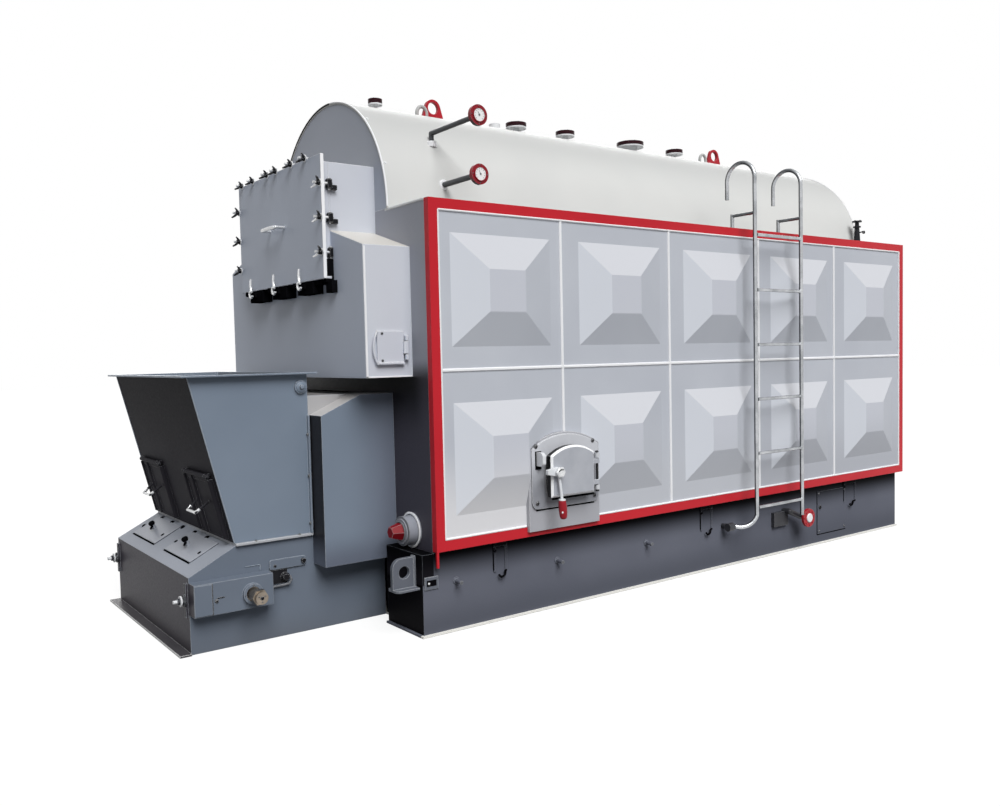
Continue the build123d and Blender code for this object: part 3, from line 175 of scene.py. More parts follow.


# Finishes: what each surface is, and what the eye gets from it; many also carry painted light and shade,
# named at each.
# Zones hold a colour and the bounds it keeps to, facing a colour and the lean of the facets it comes in on,
# fades pass into a colour along an axis.

finishes = {
    # machine enamel in blue-grey on rolled plate: satin, faint clouding, cut edges lightened as a painted
    # highlight
    "lowerEnamel": {"dark": "#707c8b", "light": "#7a8695", "cloudMm": 900, "grainMm": 14, "grain": 0.05,
                    "rough": 0.42, "specular": 0.2, "edgeHex": "#c9d0d8", "edgeShare": 0.7, "edgeMm": 6,
                    "sagMm": 700, "sag": 0.05},
    # the same enamel a shade browner and darker on the stoker, where heat and coal dust dull it; paler on its
    # slope, its front darker as painted shade, the chain's tension screws banded black and white, the white
    # bands painted highlights
    "stokerEnamel": {"dark": "#656e7b", "light": "#6f7885", "cloudMm": 700, "grainMm": 14, "grain": 0.07,
                     "rough": 0.46, "specular": 0.08, "edgeHex": "#c3c8cf", "edgeShare": 0.7, "edgeMm": 6,
                     "seatMm": 160, "seatShare": 0.5, "seatHex": "#4d4a48", "sagMm": 700, "sag": 0.05,
                     "zones": [("#959aa4", ("Z", 425, 568), ("X", -867.5, 613.5), ("Y", -3640, -3340)),
                               ("#39373e", ("Y", None, -3613.7)), ("#1a1a1d", ("Y", None, -3627.5)),
                               ("#e4e6e8", ("Y", None, -3648)), ("#2c2c31", ("Y", None, -3656)),
                               ("#dfe1e4", ("Y", None, -3670))]},
    # near-black as painted shade on the hopper's leaning front and flaps, deeper towards the top; little
    # shine, painted highlights on edges
    "darkShadedEnamel": {"dark": "#26252a", "light": "#302f34", "cloudMm": 800, "grainMm": 14, "grain": 0.07,
                   "rough": 0.55, "specular": 0.02, "edgeHex": "#c6c9ce", "edgeShare": 0.6, "edgeMm": 3,
                   "fades": [{"along": ("Z", 850, 1450), "hex": "#17161a"}]},
    # paler grey enamel of the smokebox and the rear wall: broad soft shine, darker and cooler on faces turned
    # to the front as painted shade, warmer on top, white edges as painted highlights
    "upperEnamel": {"dark": "#c2c5cf", "light": "#ccd0d8", "cloudMm": 1100, "grainMm": 14, "grain": 0.04,
                    "rough": 0.42, "specular": 0.25, "edgeHex": "#f6f7f8", "edgeShare": 0.8, "edgeMm": 6,
                    "sagMm": 800, "sag": 0.04,
                    "facing": [("#b7bfce", "Y", -0.6, -0.95), ("#cfccc6", "Z", 0.2, 0.5)]},
    # chassis enamel on the base beams: its front end and the top of its front corner near-black, and
    # darkening upwards under the casing, all painted shade; a pale lip at the floor, a little darker towards
    # it
    "baseEnamel": {"dark": "#5c5f6a", "light": "#686b76", "cloudMm": 1000, "grainMm": 16, "grain": 0.06,
                   "rough": 0.5, "specular": 0.015, "edgeHex": "#a0a5ae", "edgeShare": 0.4, "edgeMm": 5,
                   "sagMm": 900, "sag": 0.04,
                   "zones": [("#08070a", ("Y", None, -2476.5), ("Z", 12.5, None)),
                             ("#1f1e23", ("Y", None, -2402), ("Z", 300, None)),
                             ("#f0eee8", ("X", 1180, None), ("Z", None, 12.5)),
                             ("#f0eee8", ("X", None, -1180), ("Z", None, 12.5))],
                   "fades": [{"along": ("Z", 275, 470), "hex": "#060608"},
                             {"along": ("Z", 230, 13), "hex": "#575a64",
                              "where": [("Y", -2476, None), ("Z", 13, None)]}]},
    # colour-coated sheet over the drum's insulation: off-white, smooth, slightly wavy, greyer at the crown as
    # painted shade, white edges as painted highlights
    "jacketSheet": {"dark": "#c9cac9", "light": "#d2d3d1", "cloudMm": 1400, "grainMm": 20, "grain": 0.02,
                    "rough": 0.4, "specular": 0.12, "edgeHex": "#ffffff", "edgeShare": 0.8, "edgeMm": 6,
                    "sagMm": 1100, "sag": 0.12, "fades": [{"along": ("Z", 2800, 3290), "hex": "#b0b1b0"}]},
    # pressed, colour-coated panel: cool light grey, crisp facets, those turned to the front and upwards
    # lighter as painted light, the flat top of each boss a shade lighter; the lower row passes from pale in
    # front to darker behind, with a step at two of its seams
    "pressedSheet": {"dark": "#b7bbc4", "light": "#c1c5cd", "cloudMm": 1000, "grainMm": 18, "grain": 0.02,
                     "rough": 0.4, "specular": 0.25, "edgeHex": "#d9dce2", "edgeShare": 0.5,
                     "sagMm": 500, "sag": 0.03,
                     "zones": [("#c5c8d1", ("X", 1273.5, None)), ("#c5c8d1", ("X", None, -1273.5))],
                     "fades": [{"along": ("Z", 1120, 600), "hex": tone, "where": [("Y", *bounds)]}
                               for tone, bounds in {"#d9d9dc": (None, -1430.5), "#bcbfc6": (-1430.5, 519.5),
                                                    "#aeb1b9": (519.5, None)}.items()],
                     "facing": [("#d3d7df", "Y", -0.12, -0.25), ("#cfd1d7", "Z", 0.12, 0.25)]},
    # seam strips and gasket beads left white
    "whiteStrip": {"dark": "#eaebee", "light": "#f3f4f6", "cloudMm": 900, "grainMm": 12, "grain": 0.02,
                   "rough": 0.35, "edgeHex": "#ffffff", "edgeShare": 0.5},
    # signal-red enamel of the trim frame
    "trimEnamel": {"dark": "#bb1f2b", "light": "#c62530", "cloudMm": 900, "grainMm": 12, "grain": 0.03,
                   "rough": 0.4, "specular": 0.2, "edgeHex": "#dd5058", "edgeShare": 0.35},
    # deeper red on fittings that are dipped before assembly
    "fittingEnamel": {"dark": "#8c121f", "light": "#9c1826", "cloudMm": 200, "grainMm": 8, "grain": 0.05,
                      "rough": 0.35, "specular": 0.25, "edgeHex": "#c24450", "edgeShare": 0.4},
    # sand-cast door iron under light grey enamel: visible casting skin, rims lightened as painted highlights,
    # a duller back plate
    "castEnamel": {"dark": "#a6a9b1", "light": "#b3b6bd", "cloudMm": 160, "grainMm": 7, "grain": 0.22,
                   "rough": 0.45, "specular": 0.3, "edgeHex": "#fbfcfd", "edgeShare": 0.9, "edgeMm": 6,
                   "zones": [("#9c9da4", ("X", None, 1250.5))]},
    # polished stainless tube of the ladder, its sides turned from the light darkened as painted shade
    "polishedTube": {"dark": "#9a9da0", "light": "#c4c6c9", "cloudMm": 120, "grainMm": 5, "grain": 0.05,
                     "rough": 0.24, "metal": 1.0,
                     "facing": [("#3c3e42", "X", 0.4, -0.1), ("#3c3e42", "Y", 0.4, 0.8)]},
    # turned steel of shafts and screws, dull with handling
    "turnedSteel": {"dark": "#7b7268", "light": "#9a8f82", "cloudMm": 40, "grainMm": 4, "grain": 0.12,
                    "rough": 0.38, "metal": 1.0},
    # blackened hardware: nuts, clamps, knobs, with painted highlights on their edges
    "blackHardware": {"dark": "#131316", "light": "#1f1f23", "cloudMm": 60, "grainMm": 4, "grain": 0.1,
                      "rough": 0.42, "specular": 0.08, "edgeHex": "#d9dadd", "edgeShare": 0.6, "edgeMm": 3},
    # near-black that hardly sends light back: deep joints, bolts and knobs, and blocks and lines set as
    # painted shade
    "jointAndShadeBlack": {"dark": "#0a0a0c", "light": "#121215", "cloudMm": 60, "grainMm": 4, "grain": 0.1,
                  "rough": 0.8, "specular": 0.0},
    # zinc-plated hardware, bright with a cool cast
    "platedHardware": {"dark": "#cfd1d4", "light": "#eceded", "cloudMm": 50, "grainMm": 4, "grain": 0.08,
                       "rough": 0.3, "metal": 0.5},
    # bare grate iron, brown-black with scale
    "grateIron": {"dark": "#2d2724", "light": "#443a34", "cloudMm": 60, "grainMm": 6, "grain": 0.4,
                  "rough": 0.75},
    # primed boiler plate, seen only inside
    "primedPlate": {"dark": "#4a3a34", "light": "#5a4740", "cloudMm": 300, "grainMm": 10, "grain": 0.2,
                    "rough": 0.7},
    # fired lining of the furnace walls
    "firedLining": {"dark": "#8a7763", "light": "#a08a72", "cloudMm": 120, "grainMm": 9, "grain": 0.5,
                    "rough": 0.9},
    # dark grey steam pipe
    "pipeEnamel": {"dark": "#55575b", "light": "#6a6c71", "cloudMm": 120, "grainMm": 6, "grain": 0.12,
                   "rough": 0.36, "specular": 0.3, "edgeHex": "#d5d7da", "edgeShare": 0.5, "edgeMm": 2},
}


def alter(name, base, **changes):
    # a finish that differs from another in a few values
    finishes[name] = dict(finishes[base], **changes)


# side boxes: the hopper's enamel, paler where they face up; black on their front ends and darker towards the
# rear and the foot, as painted shade
alter("sideEnamel", "lowerEnamel", zones=[("#1b1a1e", ("Y", None, -2875.7))],
      fades=[{"along": ("Y", -2740, -2400), "hex": "#69707e"}, {"along": ("Z", 600, 400), "hex": "#616876"}],
      facing=[("#bab8b7", "Z", 0.2, 0.4)])
# feed box: the same, paler and warmer where it faces up and above the hopper's rim
alter("feedEnamel", "lowerEnamel", zones=[("#aaa9aa", ("Z", 1270, None))],
      facing=[("#8d8b8a", "Z", 0.2, 0.4)])
# the stoker's floor plate, dark, its front rim and edges white as painted highlights
alter("lipEnamel", "stokerEnamel", dark="#39383d", light="#434247", zones=[("#eceded", ("Y", None, -3677.5))],
      edgeHex="#f7f7f8", edgeShare=0.9)
# the hopper's foot flange, pale all over and white at its edges, as painted highlights
alter("flangeEnamel", "lowerEnamel", dark="#9b9ea4", light="#aeb1b6", edgeHex="#f6f7f8")
# the base's floor plate, pale
alter("palePlate", "baseEnamel", dark="#a9a8a3", light="#c4c3be", zones=[])
# covers on the stoker's slope, paler
alter("slopeEnamel", "lowerEnamel", dark="#8f939d", light="#9ca0a9", edgeHex="#c9ccd2")
# hauling eyes: the lower enamel, darker
alter("lugGrey", "lowerEnamel", dark="#585c65", light="#666a73", edgeHex="#d3d6da", specular=0.15)
# the fire door's leaf: its bevel white as a painted highlight, its sides black as painted shade
alter("leafEnamel", "castEnamel", edgeMm=3,
      zones=[("#f4f5f7", ("X", 1333.9, 1346.15)), ("#141416", ("X", None, 1333.9), ("Y", None, -1278))])
# the fire door's casting: darker towards its foot, the collar behind the leaf black as painted shade, the
# keeper pale as a painted highlight
alter("plateEnamel", "castEnamel", dark="#bfc1c7", light="#cbcdd3",
      fades=[{"along": ("Z", 1010, 730), "hex": "#8b8d94", "where": [("X", 1250.5, 1262.6)]}],
      zones=[("#a6a7ad", ("X", None, 1250.5)), ("#101012", ("X", 1262.6, None), ("Y", -1655, None)),
             ("#d9dbdf", ("X", 1262.6, None), ("Y", None, -1655))])
# the fire door's hinge: pale knuckles, its pin black between them as painted shade
alter("hingeEnamel", "castEnamel", dark="#c3c6cb", light="#d3d5d9", edgeMm=2, edgeShare=0.3,
      zones=[("#09090b", ("Z", 775, 928))])
# gauge pipes: painted shade below, a light line on top as a painted highlight, a red dial housing with a
# white face
alter("gaugePipe", "pipeEnamel", dark="#3a3c40", light="#484a4e",
      facing=[("#c3c5c9", "Z", 0.7, 0.95), ("#1f1f22", "Z", -0.3, -0.8)],
      zones=[("#861120", ("X", 1129, None)), ("#f2f2f2", ("X", 1155.5, None))])
# nozzles: white stems and flanges under dark maroon blanks, red darkened as painted shade, the rear standpipe
# near-black
alter("nozzleStack", "pipeEnamel", dark="#dcdee0", light="#e6e7e9", edgeShare=0.1, specular=0.1,
      zones=[("#2b0a13", ("Z", 3340, None), ("Y", None, 1200)), ("#26272a", ("Y", 2000, None))])
# lifting lugs: dipped red over pads in the jacket's white
alter("lugEnamel", "fittingEnamel", dark="#a31a28", light="#ae202e", zones=[("#dddddb", ("Z", None, 3286.9))])
# the drum's end plate: the smokebox's enamel, darker as painted shade under the jacket
alter("drumEnd", "upperEnamel", dark="#9ba1ae", light="#a5abb8", facing=[])
# the jacket's front rim: white as a painted highlight, dark on the left of the arch as painted shade
alter("rimStrip", "whiteStrip", edgeShare=0.0, specular=0.05,
      zones=[("#17171a", ("X", None, 60), ("Y", None, 0))])
# the header's coupling: cast grey with a dipped red plug
alter("couplingEnamel", "castEnamel", dark="#7f828a", light="#8d9099", edgeShare=0.3, specular=0.15,
      zones=[("#7c0c18", ("Y", None, -2481.6))])
# the fire door's lever: pale casting down to a red grip
alter("leverEnamel", "castEnamel", light="#e6e8ea", dark="#d2d5da", zones=[("#8c1421", ("Z", None, 716))])
# fittings on the base: near-black, the blow-down flange red
alter("baseFitting", "pipeEnamel", dark="#2b2c30", light="#3a3b40", zones=[("#a81c28", ("X", 1300.5, None))])
# the casing's front end: the smokebox's enamel, darker, and black below the smokebox, all painted shade
alter("frontShadeEnamel", "upperEnamel", dark="#90939d", light="#9a9da7", edgeShare=0.3, facing=[],
      fades=[{"along": ("Z", 1600, 1480), "hex": "#2e2c33"}, {"along": ("Z", 1500, 1180), "hex": "#3f3d47"},
             {"along": ("Z", 1060, 1490), "hex": "#020203", "where": [("Z", None, 1489)],
              "inwards": (1150, 1010)}])
materials = {name: coating(name, spec) for name, spec in finishes.items()}
print("finishes made:", len(materials))

# Which finish each CAD node gets
dressing = {
    "baseEnamel": ["base_beam_right", "base_beam_left", "base_rear_plate"],
    "palePlate": ["base_floor_plate"],
    "lugGrey": ["base_lugs"],
    "baseFitting": ["base_fittings"],
    "firedLining": ["furnace_wall_left", "furnace_wall_right"],
    "jacketSheet": ["roof_shoulders", "drum_jacket"],
    "frontShadeEnamel": ["front_wall"],
    "drumEnd": ["drum_front_plate"],
    "upperEnamel": ["rear_wall", "smokebox_body", "smokebox_neck", "smokebox_cover", "cleanout_door_right",
                    "cleanout_door_left", "cleanout_hinge_right", "cleanout_hinge_left"],
    "stokerEnamel": ["stoker_box", "drive_housing"],
    "slopeEnamel": ["inspection_covers"],
    "lipEnamel": ["stoker_floor_lip"],
    "flangeEnamel": ["hopper_foot_flange"],
    "sideEnamel": ["side_box_right", "side_box_left"],
    "feedEnamel": ["feed_box"],
    "lowerEnamel": ["hopper_side_right", "hopper_side_left", "hopper_rear", "hopper_rim"],
    "darkShadedEnamel": ["hopper_front", "hopper_flap_left", "hopper_flap_right", "flap_hinge_left",
                   "flap_hinge_right"],
    "pressedSheet": ["upper_panels_right", "upper_panels_left", "lower_panels_right", "lower_panels_left"],
    "whiteStrip": ["seam_bars_right", "seam_bars_left"],
    "trimEnamel": ["trim_frame_right", "trim_frame_left"],
    "plateEnamel": ["fire_door_plate"],
    "leafEnamel": ["fire_door"],
    "hingeEnamel": ["fire_door_hinge"],
    "leverEnamel": ["fire_door_lever"],
    "polishedTube": ["ladder_stiles", "ladder_rungs"],
    "turnedSteel": ["grate_shaft"],
    "grateIron": ["chain_grate", "grate_frame"],
    "primedPlate": ["steam_drum"],
    "platedHardware": ["cover_handle"],
    "gaugePipe": ["gauge_pipes"],
    "nozzleStack": ["top_nozzles"],
    "lugEnamel": ["drum_lugs"],
    "couplingEnamel": ["header_coupling"],
}
for finish, names in dressing.items():
    for name in names:
        cad[name].data.materials.clear()
        cad[name].data.materials.append(materials[finish])
bare = sorted(set(cad) - {name for names in dressing.values() for name in names})
print("CAD nodes dressed:", len(cad) - len(bare), "bare:", bare)


# Shapes worked out as arrays, in millimetres

toRight = (1, 0, 0)
toRear, toFront = (0, 1, 0), (0, -1, 0)
skywards, floorwards = (0, 0, 1), (0, 0, -1)


def axisFrame(axis):
    # Two unit vectors square to the axis, and the axis itself
    along = np.asarray(axis, float) / np.linalg.norm(axis)
    helper = np.array([0.0, 0.0, 1.0]) if abs(along[2]) < 0.9 else np.array([1.0, 0.0, 0.0])
    across = np.cross(helper, along)
    across = across / np.linalg.norm(across)
    return across, np.cross(along, across), along


def wrapGrid(grid, closedFirst=False, closedSecond=False):
    # Grid of points to a surface: neighbours along both parameters make one four-sided face
    rows, columns = grid.shape[:2]
    first = np.arange(rows if closedFirst else rows - 1)
    second = np.arange(columns if closedSecond else columns - 1)
    i, j = np.meshgrid(first, second, indexing="ij")
    nextI, nextJ = (i + 1) % rows, (j + 1) % columns
    faces = np.stack([i * columns + j, nextI * columns + j, nextI * columns + nextJ, i * columns + nextJ], -1)
    return grid.reshape(-1, 3), faces.reshape(-1, 4)


def lathe(profile, foot, axis=skywards, sides=24):
    # Surface of revolution: the point at (turn, step) is the foot plus height(step) along the axis plus
    # radius(step) times the unit vector at that turn. The profile is rows of (radius, height).
    profile = np.asarray(profile, float)
    across, up, along = axisFrame(axis)
    turn = np.linspace(0, 2 * np.pi, sides, endpoint=False)
    ring = np.cos(turn)[:, None] * across + np.sin(turn)[:, None] * up
    grid = profile[None, :, :1] * ring[:, None, :] + profile[None, :, 1:] * along
    return wrapGrid(grid + np.asarray(foot, float), closedFirst=True)


def disc(foot, axis, radius, height, sides=24, edge=1.5):
    # A round plate with a chamfered rim
    rim = [(0, 0), (radius, 0), (radius, height - edge), (radius - edge, height), (0, height)]
    return lathe(rim, foot, axis, sides)


def carry(path, radius, sides=10, closed=False):
    # A round section carried along a path: each ring lies square to the path there, its frame turned as
    # little as possible from the one before. An open path ends in two rings of zero radius.
    path = np.asarray(path, float)
    radius = np.broadcast_to(np.asarray(radius, float), (len(path),))
    ahead = np.roll(path, -1, 0) - np.roll(path, 1, 0) if closed else np.gradient(path, axis=0)
    ahead = ahead / np.linalg.norm(ahead, axis=1)[:, None]
    across = np.zeros_like(path)
    across[0] = axisFrame(ahead[0])[0]
    for step in range(1, len(path)):
        lean = across[step - 1] - ahead[step] * np.dot(across[step - 1], ahead[step])
        across[step] = lean / np.linalg.norm(lean)
    up = np.cross(ahead, across)
    if not closed:
        path, across, up = (np.vstack([a[:1], a, a[-1:]]) for a in (path, across, up))
        radius = np.concatenate([[0], radius, [0]])
    turn = np.linspace(0, 2 * np.pi, sides, endpoint=False)
    ring = np.cos(turn)[None, :, None] * across[:, None] + np.sin(turn)[None, :, None] * up[:, None]
    return wrapGrid(path[:, None] + radius[:, None, None] * ring, closedFirst=closed, closedSecond=True)


def slab(outline, foot, across, up, depth, edge=2):
    # An outline in the plane of across and up, carried by the depth along their cross product. The far end is
    # chamfered by the edge, and both ends close in the outline's middle.
    outline = np.asarray(outline, float)
    across, up = np.asarray(across, float), np.asarray(up, float)
    middle = outline.mean(0)
    reach = np.linalg.norm(outline - middle, axis=1)[:, None]
    inner = middle + (outline - middle) * (1 - edge / reach)
    flat = np.stack([outline * 0 + middle, outline, outline, inner, outline * 0 + middle])
    height = np.array([0, 0, depth - edge, depth, depth])
    grid = flat[..., :1] * across + flat[..., 1:] * up + height[:, None, None] * np.cross(across, up)
    return wrapGrid(grid + np.asarray(foot, float), closedSecond=True)


def rectangle(left, right, low, high, corner=0):
    # Corner points in order, each turned into a short arc when a corner radius is given
    spots = [(left, low), (right, low), (right, high), (left, high)]
    if not corner:
        return np.array(spots, float)
    points = []
    for (x, y), start in zip(spots, (180, 270, 0, 90)):
        middle = (x + (corner if x == left else -corner), y + (corner if y == low else -corner))
        points.append(arc(middle, corner, start, start + 90, 5))
    return np.vstack(points)


def arc(middle, radius, start, end, steps):
    # Points of a circle in a plane, angles in degrees
    turn = np.radians(np.linspace(start, end, steps))
    return np.stack([middle[0] + radius * np.cos(turn), middle[1] + radius * np.sin(turn)], -1)


def box(x0, x1, y0, y1, z0, z1, edge=1.5):
    # A block between its bounds, its upper rim chamfered
    return slab(rectangle(x0, x1, y0, y1), (0, 0, z0), toRight, toRear, z1 - z0, edge)


def bolt(foot, axis, radius, height, washer=True):
    # A hexagon head with a chamfered top, over a round washer
    head = [(0, 0), (radius, 0), (radius, height * 0.85), (radius * 0.86, height), (0, height)]
    parts = [lathe(head, foot, axis, 6)]
    if washer:
        parts.append(disc(foot, axis, radius * 1.45, height * 0.22, 18, 0.5))
    return parts


def boltRing(middle, axis, ringRadius, count, radius, height, start=0.0):
    # Heads on a circle round the axis, without washers
    across, up, along = axisFrame(axis)
    parts = []
    for turn in start + np.arange(count) * 2 * np.pi / count:
        foot = np.asarray(middle, float) + ringRadius * (np.cos(turn) * across + np.sin(turn) * up)
        parts += bolt(foot, axis, radius, height, False)
    return parts


def bead(path, radius=4, ripple=0.35, pitch=14):
    # A weld bead: a round section along a path whose radius swells and shrinks with the welder's stitches
    path = np.asarray(path, float)
    run = np.concatenate([[0], np.cumsum(np.linalg.norm(np.diff(path, axis=0), axis=1))])
    steps = np.linspace(0, run[-1], max(4, int(run[-1] / pitch * 4)))
    path = np.stack([np.interp(steps, run, path[:, k]) for k in range(3)], -1)
    return carry(path, radius * (1 + ripple * np.abs(np.sin(np.pi * steps / pitch)) - ripple / 2), 6)


pieceSet = {"merge": 2e-5, "thin": 1e-6, "sharpFrom": 35}  # metres, metres, degrees


def makePiece(name, parts, finish, body="root"):
    # Joins the parts into one mesh, closes their seams and poles, and lets it ride on its body
    points, faces, start = [], [], 0
    for verts, quads in parts:
        points.append(verts)
        faces.append(quads + start)
        start += len(verts)
    mesh = bpy.data.meshes.new(name)
    mesh.from_pydata((np.vstack(points) / 1000).tolist(), [], np.vstack(faces).tolist())
    work = bmesh.new()
    work.from_mesh(mesh)
    bmesh.ops.remove_doubles(work, verts=work.verts, dist=pieceSet["merge"])
    bmesh.ops.dissolve_degenerate(work, edges=work.edges, dist=pieceSet["thin"])
    bmesh.ops.recalc_face_normals(work, faces=work.faces)
    work.to_mesh(mesh)
    work.free()
    mesh.polygons.foreach_set("use_smooth", [True] * len(mesh.polygons))
    mesh.set_sharp_from_angle(angle=math.radians(pieceSet["sharpFrom"]))
    mesh.materials.append(materials[finish])
    piece = bpy.data.objects.new(name, mesh)
    bpy.context.scene.collection.objects.link(piece)
    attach(piece, body)


# Camera at the photo's angle; metres, degrees, and the sensor and lens in millimetres

view = {"place": (5.5296, -5.1224, 1.6), "azimuth": 53.4309, "elevation": 3.0223, "roll": -1.2731,
        "lens": 32.44, "sensor": 36, "farEnd": 200}
azimuth, elevation, roll = (math.radians(view[k]) for k in ("azimuth", "elevation", "roll"))
back = Vector((math.sin(azimuth) * math.cos(elevation), -math.cos(azimuth) * math.cos(elevation),
               math.sin(elevation)))
level = (-back).cross(Vector(skywards)).normalized()
rise = level.cross(-back)
turned = math.cos(roll) * level + math.sin(roll) * rise
risen = math.cos(roll) * rise - math.sin(roll) * level
camera = bpy.data.objects.new("camera", bpy.data.cameras.new("camera"))
camera.data.lens = view["lens"]
camera.data.sensor_width = view["sensor"]
camera.data.clip_end = view["farEnd"]
camera.matrix_world = Matrix.Translation(view["place"]) @ Matrix((turned, risen, back)).transposed().to_4x4()
bpy.context.scene.collection.objects.link(camera)
bpy.context.scene.camera = camera

# Floor and light; a lamp's "from" is its azimuth, from the right side towards the front, and its elevation

studio = {"lamps": {"keyLight": {"from": (14, 48), "strength": 3.4, "width": 40},
                    "backLight": {"from": (215, 8), "strength": 2.4, "width": 60}},
          "fill": 0.16, "floorDiffuse": "#808080", "floorGlow": 0.82, "floorHalf": 60, "floorDrop": 0.001}


def seenShare(tree):
    # 1 for rays from the camera, off a shiny surface or through a clear one, else 0
    path = addNode(tree, "ShaderNodeLightPath")
    seen = path.outputs["Is Camera Ray"]
    for ray in ("Is Glossy Ray", "Is Transmission Ray"):
        either = addNode(tree, "ShaderNodeMath", {0: seen, 1: path.outputs[ray]}, operation="MAXIMUM")
        seen = either.outputs[0]
    return seen


world = bpy.data.worlds.new("studio")
world.use_nodes = True
bpy.context.scene.world = world
tree = world.node_tree
tree.nodes.clear()
strength = addNode(tree, "ShaderNodeMapRange",
                   {"Value": seenShare(tree), "To Min": studio["fill"], "To Max": 1.0})
sky = addNode(tree, "ShaderNodeBackground", {"Color": (1, 1, 1, 1), "Strength": strength.outputs[0]})
addNode(tree, "ShaderNodeOutputWorld", {"Surface": sky.outputs[0]})

for name, lamp in studio["lamps"].items():
    turn, height = (math.radians(v) for v in lamp["from"])
    fromLamp = Vector((math.cos(height) * math.cos(turn), -math.cos(height) * math.sin(turn),
                       math.sin(height)))
    light = bpy.data.objects.new(name, bpy.data.lights.new(name, "SUN"))
    light.data.energy = lamp["strength"]
    light.data.angle = math.radians(lamp["width"])
    light.rotation_euler = fromLamp.to_track_quat("Z", "Y").to_euler()
    bpy.context.scene.collection.objects.link(light)

half = studio["floorHalf"]
floorMesh = bpy.data.meshes.new("floor")
corners = [(x * half, y * half, -studio["floorDrop"]) for x, y in ((-1, -1), (1, -1), (1, 1), (-1, 1))]
floorMesh.from_pydata(corners, [], [(0, 1, 2, 3)])
floor = bpy.data.objects.new("floor", floorMesh)
bpy.context.scene.collection.objects.link(floor)
ground = bpy.data.materials.new("paleFloor")
ground.use_nodes = True
tree = ground.node_tree
tree.nodes.clear()
seen = seenShare(tree)
matt = addNode(tree, "ShaderNodeBsdfDiffuse", {"Color": toLinear(studio["floorDiffuse"])})
glow = addNode(tree, "ShaderNodeEmission", {"Color": (1, 1, 1, 1), "Strength": studio["floorGlow"]})
shown = addNode(tree, "ShaderNodeAddShader", {0: matt.outputs[0], 1: glow.outputs[0]})
both = addNode(tree, "ShaderNodeMixShader", {0: seen, 1: matt.outputs[0], 2: shown.outputs[0]})
addNode(tree, "ShaderNodeOutputMaterial", {"Surface": both.outputs[0]})
floorMesh.materials.append(ground)
bpy.context.scene.view_settings.view_transform = "Standard"
print("camera and light set")

# Measures read from the frame, in millimetres


def nodeBox(name):
    low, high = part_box(name)
    return np.array(low) * 1000, np.array(high) * 1000


coverLow, coverHigh = nodeBox("smokebox_cover")
neckLow, neckHigh = nodeBox("smokebox_neck")
towerLow, towerHigh = nodeBox("smokebox_body")
trimLow, trimHigh = nodeBox("trim_frame_right")
roofLow, roofHigh = nodeBox("roof_shoulders")
jacketLow, jacketHigh = nodeBox("drum_jacket")
coverFront, towerFront, towerSide = coverLow[1], towerLow[1], towerHigh[0]
crown = jacketHigh[2]
jacketAxis = 2499  # height of the drum's middle
jacketRadius = crown - jacketAxis


def onJacket(x):
    # Height of the jacket's skin over a place across the boiler, by the circle of its section
    return jacketAxis + np.sqrt(jacketRadius ** 2 - x ** 2)


# Smokebox cover: swing bolts with wing nuts round its edge. "past" is how far a rod stands out in front, the
# wings' numbers their way across and up, the pins' numbers their depth in y.
clampSet = {"top": [-574, -376, -133, 11, 247, 445], "side": [2633, 2434, 2230], "rod": 8, "past": 46,
            "nut": 17, "wingReach": 46, "wingRise": 26, "topWings": (0.92, 0.39), "sideWings": (0.8, 0.6),
            "topPin": -2690, "sidePin": -2708}


def swingBolt(spot, spread, pinY, pin, toNeck, bright=False):
    # A rod over the cover's edge from its pin behind, a washer and a wing nut in front; the wings are carried
    # along a parabola, their rise growing with the square of the reach
    x, z = spot
    plated = [carry([(x, pinY, z), (x, coverFront - clampSet["past"], z)], clampSet["rod"], 10),
              disc((x, coverFront, z), toFront, 22, 5)]
    black = [lathe([(0, 0), (clampSet["nut"], 0), (13, 22), (0, 22)], (x, coverFront - 5, z), toFront, 16)]
    reach = np.linspace(0, 1, 7)
    for side in (-1, 1):
        wing = np.stack([x + side * spread[0] * clampSet["wingReach"] * reach,
                         coverFront - 16 - clampSet["wingRise"] * reach ** 2,
                         z + side * spread[1] * clampSet["wingReach"] * reach], -1)
        # on the right-hand bolts one wing is plated bright: a painted highlight
        group = plated if bright and side < 0 else black
        group.append(carry(wing, np.interp(reach, [0, 0.6, 1], [9, 8, 5]), 8))
    black.append(carry([np.subtract((x, pinY, z), pin), np.add((x, pinY, z), pin)], 9, 10))
    black.append(carry([(x, pinY + 8, z), (x + toNeck[0], pinY + 8, z + toNeck[1])], 13, 8))
    for end in (-0.7, 0.7):
        foot = np.array((x, pinY + 4, z)) + end * np.asarray(pin)
        black.append(carry([foot, foot + (toNeck[0] * 1.05, 0, toNeck[1] * 1.05)], [12, 16], 8))
    return black, plated


clamps, clampRods = [], []
acrossPin, uprightPin = (26, 0, 0), (0, 0, 30)  # half of each pin
swings = [((x, coverHigh[2] + 5), clampSet["topWings"], clampSet["topPin"], acrossPin, (0, -42))
          for x in clampSet["top"]]
for z in clampSet["side"]:
    for x, toNeck, bright in ((coverHigh[0] - 12, (-26, 0), True), (coverLow[0] - 6, (40, 0), False)):
        swings.append(((x, z), clampSet["sideWings"], clampSet["sidePin"], uprightPin, toNeck, bright))
for swing in swings:
    black, plated = swingBolt(*swing)
    clamps += black
    clampRods += plated
